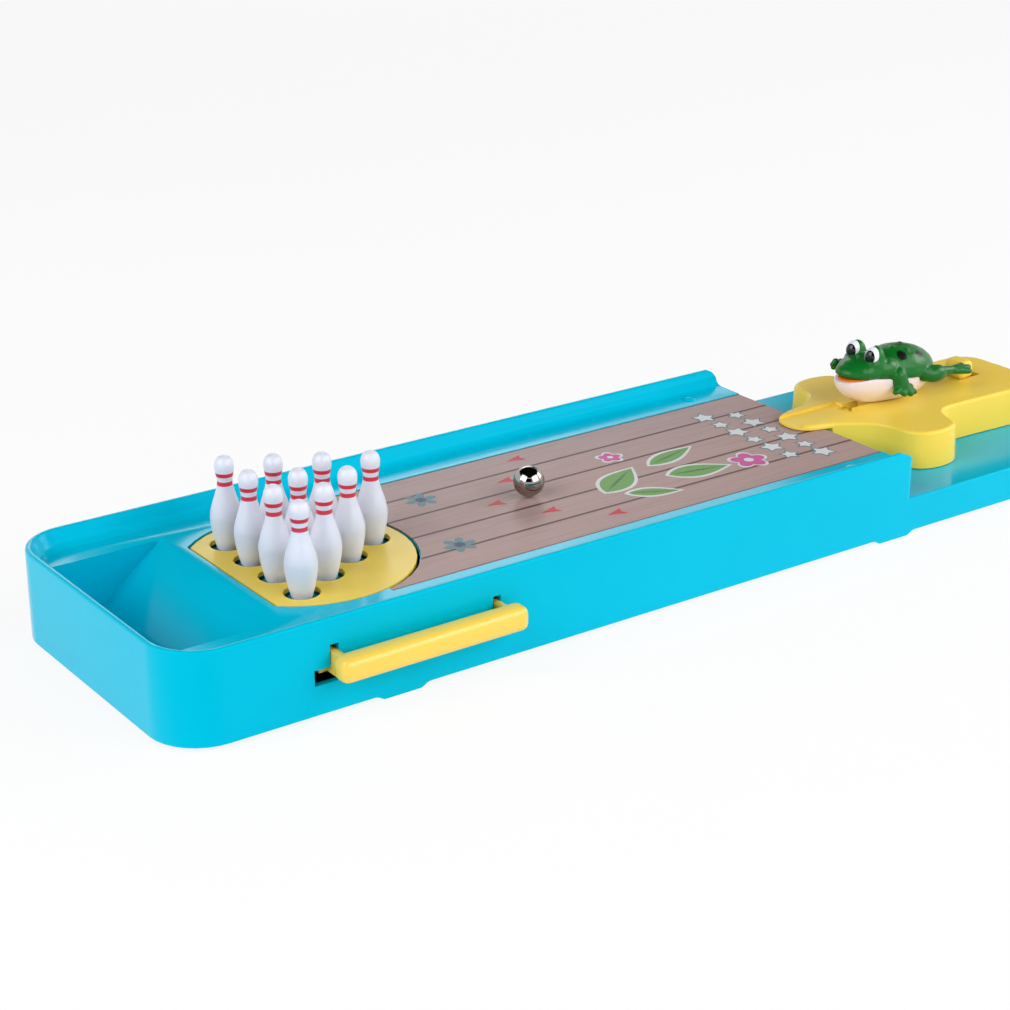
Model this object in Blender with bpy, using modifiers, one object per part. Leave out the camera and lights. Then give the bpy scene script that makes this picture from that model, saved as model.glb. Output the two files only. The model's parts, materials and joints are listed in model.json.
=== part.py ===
"""Tabletop bowling game: a moulded tray with a lane, ten pins, a pin lifter and a swivelling launcher.

Metres, +Z up. The origin lies under the middle of the tray, on the surface that the game stands on.
Inside the tray, X runs from the outside of the end wall behind the pins towards the launcher,
and Y runs from the near wall, where the lift handle is, to the far wall.
"""

import math

import bmesh
import bpy
from mathutils import Matrix, Vector

# Clearances and steps for all pieces
CLEARANCE = 0.0003
OVERRUN = 0.004
MERGE_DISTANCE = 0.00001
SHARP_ANGLE = math.radians(35)
CORNER_STEPS = 8
ROUNDING_STEPS = 3

# Pins and their grid, counted from the outside of the tray's end wall
WALL = 0.002
PIN_PITCH = 0.0145
PIN_ROW_SHARE = math.sqrt(3) / 2
PIN_ROW_PITCH = PIN_PITCH * PIN_ROW_SHARE
PIN_ROWS = 4
PIN_HEIGHT = 0.030
PIN_BELLY_RADIUS = 0.0049
PIN_STEPS = 12
PIN_PROFILE_SHARES = (
    (0.00, 1.000),
    (0.34, 0.985),
    (0.55, 0.935),
    (0.60, 0.880),
    (0.56, 0.800),
    (0.50, 0.730),
    (0.62, 0.620),
    (0.86, 0.500),
    (1.00, 0.370),
    (0.91, 0.220),
    (0.66, 0.030),
    (0.60, 0.000),
    (0.00, 0.000),
)

# Pit behind the pins
PIT_FLOOR = 0.008
PIT_FILLET = 0.003
RAMP_FOOT_PLACE = 0.0235
RAMP_FOOT_RISE = 0.0013
RAMP_FOOT_HEIGHT = PIT_FLOOR + RAMP_FOOT_RISE
RAMP_LENGTH = 0.0185
RAMP_TOP_PLACE = RAMP_FOOT_PLACE + RAMP_LENGTH

# Pin plate, round about the middle of the pins' triangle
PIN_HOLE_GAP = 0.0006
PIN_HOLE_RADIUS = PIN_BELLY_RADIUS + PIN_HOLE_GAP
PIN_HOLE_STEPS = 14
PLATE_EDGE = 0.003985
PLATE_CHORD_SETBACK = 0.0049
PLATE_CHORD_PLACE = RAMP_TOP_PLACE + PLATE_CHORD_SETBACK
PLATE_CHORD_EDGE = 0.0051
BACK_PIN_PLACE = PLATE_CHORD_PLACE + PLATE_CHORD_EDGE + PIN_HOLE_RADIUS
HEAD_PIN_PLACE = BACK_PIN_PLACE + PIN_ROW_PITCH * (PIN_ROWS - 1)
PIN_CIRCLE_RADIUS = PIN_ROW_PITCH * (PIN_ROWS - 1) * 2 / 3
PLATE_CENTRE = HEAD_PIN_PLACE - PIN_CIRCLE_RADIUS
PLATE_RADIUS = PIN_CIRCLE_RADIUS + PIN_HOLE_RADIUS + PLATE_EDGE
PLATE_THICKNESS = 0.0016
PLATE_GAP = 0.0009
PLATE_ARC_STEPS = 32
PLATE_BOSS_RADIUS = 0.0026
PLATE_BOSS_DROP = 0.0025
PLATE_SCREW_RADIUS = PLATE_RADIUS - PLATE_EDGE
PLATE_SCREW_ANGLES = (math.radians(45), math.radians(180), math.radians(315))
PLATE_SCREW_CHORD_INSET = 0.0041

# Tray, as wide as the plate and its ledges ask
LANE_MARGIN = 0.0009
LEDGE_EDGE = PLATE_RADIUS + PLATE_GAP + LANE_MARGIN
LEDGE_WIDTH = 0.0156
TRAY_WIDTH = (LEDGE_EDGE + LEDGE_WIDTH) * 2
TRAY_LENGTH = 0.380
SWIVEL_END_DISTANCE = 0.032
SWIVEL_PLACE = TRAY_LENGTH - SWIVEL_END_DISTANCE
STEP_SWIVEL_DISTANCE = 0.0742
STEP_PLACE = SWIVEL_PLACE - STEP_SWIVEL_DISTANCE
CORNER_RADIUS = 0.016
LEDGE_HEIGHT = 0.0245
RIM_RISE = 0.0055
RIM_HEIGHT = LEDGE_HEIGHT + RIM_RISE
RIM_ROUNDING = 0.0008
WALL_DRAFT = 0.001
WALL_FILLET = 0.003
SKIRT_HEIGHT = 0.0014
STEP_ROUNDING = 0.0035
DECK_DROP = 0.0114
DECK_HEIGHT = LEDGE_HEIGHT - DECK_DROP
DECK_ROUNDING = 0.001

# Feet moulded on the lower edge, pips on the ledges
FOOT_LENGTH = 0.010
FOOT_SETBACK = 0.025
FOOT_STEP_GAP = 0.0033
FOOT_PLACES = (RAMP_TOP_PLACE + FOOT_SETBACK, STEP_PLACE - FOOT_LENGTH - FOOT_STEP_GAP)
FOOT_BLEND = 0.0045
FOOT_BLEND_STEPS = 5
PIP_STEP_DISTANCE = 0.0188
PIP_PLACE = STEP_PLACE - PIP_STEP_DISTANCE
PIP_EDGE_DISTANCE = 0.0053
PIP_OFFSET = LEDGE_EDGE + PIP_EDGE_DISTANCE
PIP_RADIUS = 0.0025
PIP_HEIGHT = 0.0009

# Lane sheet
SHEET_SETBACK = 0.0094
SHEET_START = PLATE_CENTRE + SHEET_SETBACK
SHEET_THICKNESS = 0.0004
SHEET_DROP = 0.00015
SHEET_TOP = LEDGE_HEIGHT - SHEET_DROP

# Pin stand
POST_INSET = 0.0005
POST_RADIUS = PIN_BELLY_RADIUS - POST_INSET
POST_DROP = 0.00175
POST_TOP = SHEET_TOP - POST_DROP
POST_STEPS = 10
STAND_LOW = 0.008
STAND_THICKNESS = 0.0016
STAND_INSET = 0.0036
STAND_MARGIN = 0.0038
STAND_HALF_WIDTH = PIN_PITCH * (PIN_ROWS - 1) / 2 + POST_RADIUS + STAND_MARGIN
STAND_EAR_SHIFTS = (-0.0121, 0.0219)
STAND_EAR_PLACES = tuple(PLATE_CENTRE + shift for shift in STAND_EAR_SHIFTS)
STAND_EAR_REACH = 0.0086
STAND_EAR_OFFSET = LEDGE_EDGE + STAND_EAR_REACH
STAND_EAR_RADIUS = 0.0036

# Lift frame below the plate
FRAME_HIGH = SHEET_TOP - PLATE_THICKNESS - PLATE_BOSS_DROP - CLEARANCE
FRAME_THICKNESS = 0.0034
FRAME_LOW = FRAME_HIGH - FRAME_THICKNESS
FRAME_RIM_INSET = 0.0006
FRAME_RIM_WIDTH = 0.0036
FRAME_PAD_RADIUS = 0.0032
RAIL_REACH = 0.0021
RAIL_OFFSET = LEDGE_EDGE + RAIL_REACH
RAIL_HALF_WIDTH = 0.0018
RAIL_DROP = 0.0013
RAIL_LOW = FRAME_LOW - RAIL_DROP
RAIL_HIGH = FRAME_HIGH - RAIL_DROP
RAIL_OVERHANG = 0.003
WEB_SHIFTS = (-0.0083, 0.0157)
WEB_PLACES = tuple(PLATE_CENTRE + shift for shift in WEB_SHIFTS)
WEB_HALF_WIDTH = 0.0018
WEB_INNER_OFFSET = PLATE_RADIUS - FRAME_RIM_WIDTH

# Lift handle
SLOT_SETBACK = 0.0028
SLOT_PLACES = (PLATE_CHORD_PLACE + SLOT_SETBACK, PLATE_CENTRE + PLATE_RADIUS)
SLOT_HALF_WIDTH = 0.0014
SLOT_RISE = 0.0032
SLOT_TOP = RAIL_HIGH + SLOT_RISE
SLOT_FOOT_HALF_WIDTH = 0.0066
SLOT_FOOT_HIGH = RAIL_LOW
SLOT_FOOT_DEPTH = 0.0048
SLOT_FOOT_LOW = SLOT_FOOT_HIGH - SLOT_FOOT_DEPTH
FLANGE_THICKNESS = 0.002
ARM_HALF_WIDTH = SLOT_HALF_WIDTH - CLEARANCE
ARM_LOW = RAIL_LOW - FLANGE_THICKNESS - CLEARANCE
FLANGE_SIDE_GAP = 0.0030
FLANGE_HALF_WIDTH = SLOT_FOOT_HALF_WIDTH - FLANGE_SIDE_GAP
FLANGE_WALL_GAP = 0.0008
FLANGE_OUTER_OFFSET = TRAY_WIDTH / 2 - WALL - FLANGE_WALL_GAP
FLANGE_LAP = 0.0022
FLANGE_INNER_OFFSET = RAIL_OFFSET - FLANGE_LAP
HANDLE_OVERHANGS = (0.0025, 0.0059)
HANDLE_START = SLOT_PLACES[0] - HANDLE_OVERHANGS[0]
HANDLE_END = SLOT_PLACES[1] + HANDLE_OVERHANGS[1]
HANDLE_DROP = 0.0005
HANDLE_HEIGHT = 0.0078
HANDLE_DEPTH = 0.007
HANDLE_GAP = 0.002
HANDLE_LOW = ARM_LOW - HANDLE_DROP
HANDLE_HIGH = HANDLE_LOW + HANDLE_HEIGHT
HANDLE_BACK_OFFSET = TRAY_WIDTH / 2 + HANDLE_GAP
HANDLE_FRONT_OFFSET = HANDLE_BACK_OFFSET + HANDLE_DEPTH
HANDLE_ROUNDING = 0.0026
HANDLE_ROUNDING_STEPS = 4
HANDLE_SCREW_INSET = 0.0016
HANDLE_SCREW_PLACES = (SLOT_PLACES[0] + HANDLE_SCREW_INSET, SLOT_PLACES[1] - HANDLE_SCREW_INSET)

# Lift springs between the stand and the rails
LIFT_SPRING_SHIFT = 0.0049
LIFT_SPRING_PLACE = PLATE_CENTRE + LIFT_SPRING_SHIFT
LIFT_SPRING_RADIUS = 0.0022
LIFT_SPRING_WIRE_RADIUS = 0.0003
LIFT_SPRING_TURNS = 3

# Base cover
COVER_THICKNESS = 0.002
COVER_SCREW_START = 0.024
COVER_SCREW_END = 0.016
COVER_SCREW_MIDDLE = (RAMP_TOP_PLACE + TRAY_LENGTH) / 2
COVER_SCREW_PLACES = (COVER_SCREW_START, COVER_SCREW_MIDDLE, TRAY_LENGTH - COVER_SCREW_END)
COVER_SCREW_INSETS = (0.008, 0.008, 0.016)
BOSS_RADIUS = 0.0028

# Small screws
SHANK_RADIUS = 0.0009
SHANK_CLEARANCE = 0.0003
SCREW_HEAD_RADIUS = 0.0019
SCREW_HEAD_HEIGHT = 0.0011
SCREW_BITE = 0.0045
SCREW_STEPS = 8

# Ball
BALL_RADIUS = 0.005
BALL_PLACE = 0.154

# Launcher, measured from its swivel axis
TONGUE_OVERHANG = 0.0103
LAUNCHER_REACH = STEP_SWIVEL_DISTANCE + TONGUE_OVERHANG
LAUNCHER_SPREAD = 0.0368
FAR_TOE_SHARE = 0.84
TONGUE_UNDERSIDE = SHEET_TOP + CLEARANCE
TONGUE_THICKNESS = 0.00175
LAUNCHER_TOP = TONGUE_UNDERSIDE + TONGUE_THICKNESS
LAUNCHER_ROUNDING = 0.0012
LAUNCHER_DRAFT = 0.0005
LAUNCHER_WALL = 0.0018
LAUNCHER_ROOF_THICKNESS = 0.0042
LAUNCHER_ROOF = LAUNCHER_TOP - LAUNCHER_ROOF_THICKNESS
BODY_FRONT_GAP = 0.0013
BODY_FRONT_RADIUS = STEP_SWIVEL_DISTANCE - BODY_FRONT_GAP
BODY_FRONT_STEPS = 24
BODY_FRONT_SPREAD = math.radians(60)
OUTLINE_STEPS = 2
CHANNEL_HALF_WIDTH = 0.0058
CHANNEL_DEPTH = 0.001
CHANNEL_FLOOR = LAUNCHER_TOP - CHANNEL_DEPTH
CHANNEL_LENGTH = 0.0285
CHANNEL_BACK = LAUNCHER_REACH - CHANNEL_LENGTH
TOE_OUTLINE_SHARES = (
    (-0.998, -0.030),
    (-0.990, -0.110),
    (-0.965, -0.185),
    (-0.925, -0.230),
    (-0.868, -0.262),
    (-0.812, -0.330),
    (-0.752, -0.418),
    (-0.705, -0.520),
    (-0.684, -0.640),
    (-0.676, -0.790),
    (-0.655, -0.900),
    (-0.610, -0.975),
    (-0.550, -1.000),
    (-0.490, -0.985),
    (-0.442, -0.930),
    (-0.420, -0.830),
    (-0.402, -0.700),
    (-0.365, -0.600),
    (-0.300, -0.560),
    (-0.120, -0.570),
    (0.100, -0.590),
    (0.195, -0.560),
    (0.245, -0.440),
    (0.262, -0.240),
)

# Launcher cover, swivel and screws
LAUNCHER_COVER_THICKNESS = 0.0019
HUB_RADIUS = 0.0042
HUB_REACH = 0.0003
WASHER_RADIUS = 0.007
WASHER_THICKNESS = 0.0012
SWIVEL_SHANK_RADIUS = 0.0012
SWIVEL_HEAD_RADIUS = 0.0028
SWIVEL_HEAD_HEIGHT = 0.0015
SWIVEL_BITE = 0.0055
LAUNCHER_SCREW_SHARES = ((-0.533, -0.598), (-0.533, 0.543), (0.118, -0.380), (0.118, 0.380))
LAUNCHER_SCREW_PLACES = tuple((x * LAUNCHER_REACH, y * LAUNCHER_SPREAD) for x, y in LAUNCHER_SCREW_SHARES)
GUIDE_BACK = 0.008
GUIDE_WALL = 0.0014

# Plunger and its spring
PLUNGER_HALF_WIDTH = 0.004
PLUNGER_HEIGHT = 0.0042
PLUNGER_ROOF_GAP = 0.0008
PLUNGER_LOW = LAUNCHER_ROOF - PLUNGER_ROOF_GAP - PLUNGER_HEIGHT
PLUNGER_FRONT_GAP = 0.0131
PLUNGER_FRONT = BODY_FRONT_RADIUS - LAUNCHER_WALL - PLUNGER_FRONT_GAP
GUIDE_SETBACK = 0.008
GUIDE_FRONT = PLUNGER_FRONT - GUIDE_SETBACK
PLUNGER_REAR = 0.0016
PLUNGER_TRAVEL = 0.006
STRIKER_HALF_WIDTH = 0.0018
STRIKER_LENGTH = 0.003
STRIKER_RISE = 0.0019
STRIKER_TOP = LAUNCHER_TOP + STRIKER_RISE
STEM_HALF_WIDTH = 0.0022
STEM_FRONT = 0.0030
STEM_REAR = 0.0012
KNOB_FRONT = 0.0044
KNOB_LENGTH = 0.0070
KNOB_HALF_WIDTH = 0.0045
KNOB_HEIGHT = 0.0066
KNOB_ROUNDING = 0.0020
KNOB_ROUNDING_STEPS = 3
PLUNGER_SPRING_RADIUS = 0.0019
PLUNGER_SPRING_WIRE_RADIUS = 0.0003
PLUNGER_SPRING_TURNS = 6

# Frog, measured from the swivel axis
FROG_LENGTH = 0.046
FROG_LEAD = 0.006
FROG_FRONT = PLUNGER_FRONT + FROG_LEAD
JAW_RISE = 0.0094
FROG_SEAT = LAUNCHER_TOP + CLEARANCE
JAW_HEIGHT = FROG_SEAT + JAW_RISE
MOUTH_GAP = 0.0012
MOUTH_SETBACKS = (0.0042, 0.0170)
MOUTH_FRONT = FROG_FRONT - MOUTH_SETBACKS[0]
MOUTH_BACK = FROG_FRONT - MOUTH_SETBACKS[1]
MOUTH_HALF_WIDTH = 0.0062
PEG_RADIUS = 0.0015
PEG_SETBACKS = (0.028, 0.020)
PEG_PLACES = tuple(FROG_FRONT - setback for setback in PEG_SETBACKS)
PEG_DEPTH = 0.0025
FROG_SIDES = 12
FROG_RINGS = 8
LIMB_SIDES = 8
LIMB_RINGS = 6
FROG_BACK_SHARES = (
    ("frog_torso", (0.63, 0.00, 0.035), (0.375, 0.228, 0.172), 9),
    ("frog_head", (0.283, 0.00, 0.076), (0.243, 0.187, 0.109), 0),
    ("frog_eye_near", (0.309, -0.109, 0.198), (0.068, 0.065, 0.074), 0),
    ("frog_eye_far", (0.309, 0.109, 0.198), (0.068, 0.065, 0.074), 0),
    ("frog_haunch_near", (0.902, -0.190, -0.045), (0.150, 0.070, 0.070), 0),
    ("frog_haunch_far", (0.902, 0.190, -0.045), (0.150, 0.070, 0.070), 0),
    ("frog_foot_near", (1.152, -0.185, -0.052), (0.157, 0.052, 0.033), 0),
    ("frog_foot_far", (1.152, 0.185, -0.052), (0.157, 0.052, 0.033), 0),
)
FROG_ARM_SHARES = (
    ("frog_arm_near", (0.526, -0.226, -0.033), (0.076, 0.050, 0.104), 0),
    ("frog_arm_far", (0.526, 0.226, -0.033), (0.076, 0.050, 0.104), 0),
    ("frog_hand_near", (0.543, -0.265, -0.122), (0.124, 0.070, 0.030), 0),
    ("frog_hand_far", (0.543, 0.265, -0.122), (0.124, 0.070, 0.030), 0),
)
BELLY_SHARES = (0.457, 0.205, 0.250)
BELLY_CENTRE_SHARE = 0.522

# Springs' wires
WIRE_POINTS_PER_TURN = 8
WIRE_BEVEL_STEPS = 1

BALL_SIDES = 20
BALL_RINGS = 12


def clear_scene():
    """Remove what the scene holds."""
    for thing in list(bpy.data.objects):
        bpy.data.objects.remove(thing, do_unlink=True)


def make_collection(name):
    """Add one collection to the scene."""
    collection = bpy.data.collections.new(name)
    bpy.context.scene.collection.children.link(collection)
    return collection


clear_scene()
GAME = make_collection("tabletop_bowling_game")
CUTTERS = make_collection("cutters")

tray_frame = bpy.data.objects.new("tray_frame", None)
tray_frame.location = (-TRAY_LENGTH / 2, 0, 0)
GAME.objects.link(tray_frame)

swivel_frame = bpy.data.objects.new("swivel_frame", None)
swivel_frame.location = (SWIVEL_PLACE, 0, 0)
swivel_frame.parent = tray_frame
GAME.objects.link(swivel_frame)


def plastic(name, colour, roughness=0.3, metallic=0.0):
    """A plain Principled material from an sRGB colour in 0 to 255."""
    material = bpy.data.materials.new(name)
    material.use_nodes = True
    shader = material.node_tree.nodes["Principled BSDF"]
    linear = [(channel / 255) ** 2.2 for channel in colour]
    shader.inputs["Base Color"].default_value = (*linear, 1)
    shader.inputs["Roughness"].default_value = roughness
    shader.inputs["Metallic"].default_value = metallic
    return material


CYAN = plastic("cyan_plastic", (20, 203, 232), 0.2)
YELLOW = plastic("yellow_plastic", (246, 224, 113), 0.3)
WHITE = plastic("white_plastic", (222, 226, 240), 0.25)
PRINT = plastic("printed_sheet", (178, 163, 156), 0.4)
GREEN = plastic("green_plastic", (41, 123, 50), 0.25)
CREAM = plastic("cream_plastic", (239, 215, 196), 0.35)
ORANGE = plastic("orange_plastic", (235, 120, 30), 0.35)
STEEL = plastic("bright_steel", (190, 192, 196), 0.15, 1.0)
ZINC = plastic("zinc_steel", (160, 162, 166), 0.35, 1.0)


def place(thing, parent, collection=GAME, material=None):
    """Link an object, hang it on its parent and give it its material."""
    collection.objects.link(thing)
    thing.parent = parent
    if material:
        thing.data.materials.clear()
        thing.data.materials.append(material)
    if collection is CUTTERS:
        thing.hide_render = True
        thing.display_type = "WIRE"
    return thing


def from_bmesh(name, shape):
    """Turn a bmesh into an object, shaded smooth between its sharp edges."""
    bmesh.ops.recalc_face_normals(shape, faces=shape.faces)
    if shape.calc_volume(signed=True) < 0:
        bmesh.ops.reverse_faces(shape, faces=shape.faces)
    mesh = bpy.data.meshes.new(name)
    shape.to_mesh(mesh)
    shape.free()
    mesh.shade_smooth()
    mesh.set_sharp_from_angle(angle=SHARP_ANGLE)
    return bpy.data.objects.new(name, mesh)


def mesh_from_curve(name, curve_object):
    """Replace a curve by its mesh, with the loose caps welded on."""
    scene = bpy.context.scene
    scene.collection.objects.link(curve_object)
    graph = bpy.context.evaluated_depsgraph_get()
    mesh = bpy.data.meshes.new_from_object(curve_object.evaluated_get(graph))
    matrix = curve_object.matrix_world.copy()
    bpy.data.objects.remove(curve_object, do_unlink=True)
    shape = bmesh.new()
    shape.from_mesh(mesh)
    bmesh.ops.remove_doubles(shape, verts=shape.verts, dist=MERGE_DISTANCE)
    shape.transform(matrix)
    bpy.data.meshes.remove(mesh)
    return from_bmesh(name, shape)


def plate(name, points, low, high, upright=False, holes=()):
    """A flat outline made thick: lying from z low to high, or upright from y low to high."""
    curve = bpy.data.curves.new(name, "CURVE")
    curve.dimensions = "2D"
    curve.fill_mode = "BOTH"
    curve.extrude = (high - low) / 2
    for outline in (points, *holes):
        spline = curve.splines.new("POLY")
        spline.points.add(len(outline) - 1)
        for point, (across, along) in zip(spline.points, outline):
            point.co = (across, along, 0, 1)
        spline.use_cyclic_u = True
    thing = bpy.data.objects.new(name, curve)
    middle = (low + high) / 2
    if upright:
        thing.rotation_euler = (math.radians(90), 0, 0)
        thing.location = (0, middle, 0)
    else:
        thing.location = (0, 0, middle)
    return mesh_from_curve(name, thing)


def block(name, x_low, x_high, y_low, y_high, z_low, z_high):
    """A box between its lowest and highest corners."""
    shape = bmesh.new()
    size = Vector((x_high - x_low, y_high - y_low, z_high - z_low))
    middle = Vector((x_low + x_high, y_low + y_high, z_low + z_high)) / 2
    bmesh.ops.create_cube(shape, size=1, matrix=Matrix.LocRotScale(middle, None, size))
    return from_bmesh(name, shape)


def cylinders(name, places, radius, low, high, steps):
    """Upright cylinders of one size, at each place."""
    shape = bmesh.new()
    for x, y in places:
        bmesh.ops.create_cone(
            shape, cap_ends=True, segments=steps, radius1=radius, radius2=radius,
            depth=high - low, matrix=Matrix.Translation((x, y, (low + high) / 2)),
        )
    return from_bmesh(name, shape)


def turned(name, profile, steps, centre=(0, 0, 0)):
    """A profile of (radius, height), top to bottom, turned about an upright axis."""
    mesh = bpy.data.meshes.new(name)
    count = len(profile)
    edges = [(index, index + 1) for index in range(count - 1)]
    mesh.from_pydata([(radius, 0, height) for radius, height in profile], edges, [])
    thing = bpy.data.objects.new(name, mesh)
    thing.location = centre
    screw = thing.modifiers.new("turned", "SCREW")
    screw.steps = steps
    screw.render_steps = steps
    screw.use_merge_vertices = True
    screw.merge_threshold = MERGE_DISTANCE
    screw.use_smooth_shade = True
    return thing


def lofted(name, levels):
    """A solid through level outlines of equal point counts: (points, height) from the bottom up."""
    shape = bmesh.new()
    loops = [[shape.verts.new((x, y, height)) for x, y in points] for points, height in levels]
    for lower, upper in zip(loops, loops[1:]):
        for index in range(len(lower)):
            after = (index + 1) % len(lower)
            shape.faces.new((lower[index], lower[after], upper[after], upper[index]))
    shape.faces.new(list(reversed(loops[0])))
    shape.faces.new(loops[-1])
    return from_bmesh(name, shape)


def boolean(target, tool, operation="DIFFERENCE"):
    """Cut or join the target with a tool object, which goes with the cutters."""
    if tool.name not in CUTTERS.objects:
        place(tool, target.parent, CUTTERS)
    modifier = target.modifiers.new(tool.name, "BOOLEAN")
    modifier.operation = operation
    modifier.object = tool
    modifier.solver = "EXACT"


def union(target, tool):
    """Join a tool object to the target."""
    boolean(target, tool, "UNION")


def arc(centre_x, centre_y, radius, start, end, steps):
    """Points of an arc, both ends included."""
    angles = [start + (end - start) * step / steps for step in range(steps + 1)]
    return [(centre_x + radius * math.cos(a), centre_y + radius * math.sin(a)) for a in angles]


def rounded_plan(x_low, x_high, half_width, near_radius, far_radius, inset):
    """A rectangle about Y = 0 with its own corner radius at each end, drawn in by an inset."""
    x_low = x_low + inset
    x_high = x_high - inset
    half_width = half_width - inset
    near_radius = max(near_radius - inset, MERGE_DISTANCE)
    far_radius = max(far_radius - inset, MERGE_DISTANCE)
    quarter = math.pi / 2
    corners = (
        (x_low + near_radius, near_radius - half_width, near_radius, 2),
        (x_high - far_radius, far_radius - half_width, far_radius, 3),
        (x_high - far_radius, half_width - far_radius, far_radius, 0),
        (x_low + near_radius, half_width - near_radius, near_radius, 1),
    )
    points = []
    for x, y, radius, turns in corners:
        points += arc(x, y, radius, turns * quarter, (turns + 1) * quarter, CORNER_STEPS)
    return points


def rounding(radius):
    """(inset, rise) pairs of a rounded upper edge, from the side face to the top face."""
    angles = [math.pi / 2 * step / ROUNDING_STEPS for step in range(ROUNDING_STEPS + 1)]
    return [(radius * (1 - math.cos(a)), radius * math.sin(a)) for a in angles]


def tray_solid(name, x_low, x_high, near_radius, far_radius, top, edge_radius):
    """A solid block of the tray's plan with a rounded upper edge."""
    half = TRAY_WIDTH / 2
    levels = [(rounded_plan(x_low, x_high, half, near_radius, far_radius, 0), 0)]
    for inset, rise in rounding(edge_radius):
        outline = rounded_plan(x_low, x_high, half, near_radius, far_radius, inset)
        levels.append((outline, top - edge_radius + rise))
    return lofted(name, levels)


def trough_cutter():
    """The space between the high walls: filleted at the ledge, drafted, and flared at the rim."""
    half = TRAY_WIDTH / 2
    far = STEP_PLACE + CORNER_RADIUS + OVERRUN
    foot = WALL + WALL_DRAFT
    sections = []
    for step in range(ROUNDING_STEPS + 1):
        angle = math.pi / 2 * step / ROUNDING_STEPS
        inset = foot + WALL_FILLET * (1 - math.sin(angle))
        sections.append((inset, LEDGE_HEIGHT + WALL_FILLET * (1 - math.cos(angle))))
    for inset, rise in rounding(RIM_ROUNDING):
        sections.append((WALL - inset, RIM_HEIGHT - RIM_ROUNDING + rise))
    sections.append((WALL - RIM_ROUNDING, RIM_HEIGHT + OVERRUN))
    levels = [
        (rounded_plan(0, far, half, CORNER_RADIUS, CORNER_RADIUS, inset), height)
        for inset, height in sections
    ]
    return lofted("trough", levels)


def pit_outline(sink, end_gap):
    """The pit's long section, moved down and outwards by the same amounts for its underside."""
    slope = Vector((RAMP_TOP_PLACE - RAMP_FOOT_PLACE, LEDGE_HEIGHT - RAMP_FOOT_HEIGHT)).normalized()
    shift = Vector((slope.y, -slope.x)) * sink
    foot = (RAMP_FOOT_PLACE + shift.x, RAMP_FOOT_HEIGHT + shift.y)
    top = (RAMP_TOP_PLACE + shift.x, LEDGE_HEIGHT + shift.y)
    floor = PIT_FLOOR - sink
    bend = (foot[0] - PIT_FILLET, floor)
    return end_gap, floor, bend, foot, top, slope


def pit_cutter():
    """The pit above its floor and ramp."""
    start, floor, bend, foot, top, slope = pit_outline(0, WALL + WALL_DRAFT)
    over = (top[0] + slope.x * OVERRUN, top[1] + slope.y * OVERRUN)
    corner = arc(
        start + PIT_FILLET, floor + PIT_FILLET, PIT_FILLET, math.pi, math.pi * 1.5, ROUNDING_STEPS,
    )
    points = [(start, over[1]), *corner, bend, foot, over]
    edge = LEDGE_EDGE - CLEARANCE
    return plate("pit", points, -edge, edge, upright=True)


def low_hollow_cutter():
    """The space under the pit floor and the whole tray, inside the walls."""
    outline = rounded_plan(0, TRAY_LENGTH, TRAY_WIDTH / 2, CORNER_RADIUS, CORNER_RADIUS, WALL)
    return plate("low_hollow", outline, -OVERRUN, PIT_FLOOR - WALL)


def deck_hollow_cutter():
    """The space under the low deck, round at the launcher's end."""
    half = TRAY_WIDTH / 2
    outline = rounded_plan(STEP_PLACE, TRAY_LENGTH, half, WALL * 2, CORNER_RADIUS, WALL)
    return plate("deck_hollow", outline, 0, DECK_HEIGHT - WALL)


def lane_hollow_cutter():
    """The space under the lane, from below the ramp to the step wall."""
    start, floor, bend, foot, top, slope = pit_outline(WALL, WALL)
    roof = LEDGE_HEIGHT - WALL
    ramp_reach = (roof - foot[1]) / slope.y
    points = [
        (bend[0], 0),
        bend,
        foot,
        (foot[0] + slope.x * ramp_reach, roof),
        (STEP_PLACE - WALL, roof),
        (STEP_PLACE - WALL, 0),
    ]
    edge = TRAY_WIDTH / 2 - WALL
    return plate("lane_hollow", points, -edge, edge, upright=True)


def ledge_pocket_cutter():
    """The pockets under the ledges beside the pit."""
    half = TRAY_WIDTH / 2
    outline = rounded_plan(
        0, RAMP_TOP_PLACE + CORNER_RADIUS, half, CORNER_RADIUS, CORNER_RADIUS, WALL,
    )
    pocket = plate("ledge_pocket", outline, 0, LEDGE_HEIGHT - WALL - CLEARANCE)
    keep = LEDGE_EDGE + WALL + CLEARANCE
    middle = block("pocket_middle", -OVERRUN, TRAY_WIDTH, -keep, keep, -OVERRUN, RIM_HEIGHT)
    place(pocket, tray_frame, CUTTERS)
    boolean(pocket, middle)
    return pocket


def foot_gap_cutter(name, x_low, x_high, blend_low, blend_high):
    """The gap under the tray's lower edge, with smooth ends where a foot begins."""
    points = []
    wave = [step / FOOT_BLEND_STEPS for step in range(FOOT_BLEND_STEPS + 1)]
    rise = [(share, (1 - math.cos(math.pi * share)) / 2) for share in wave]
    climb = SKIRT_HEIGHT + CLEARANCE
    if blend_low:
        points += [(x_low + share * FOOT_BLEND, lift * climb - CLEARANCE) for share, lift in rise]
    else:
        points += [(x_low, 0), (x_low, SKIRT_HEIGHT)]
    if blend_high:
        points += [
            (x_high - share * FOOT_BLEND, lift * climb - CLEARANCE) for share, lift in reversed(rise)
        ]
    else:
        points += [(x_high, SKIRT_HEIGHT), (x_high, 0)]
    points += [(x_high, -OVERRUN), (x_low, -OVERRUN)]
    edge = TRAY_WIDTH / 2 + OVERRUN
    return plate(name, points, -edge, edge, upright=True)


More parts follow.
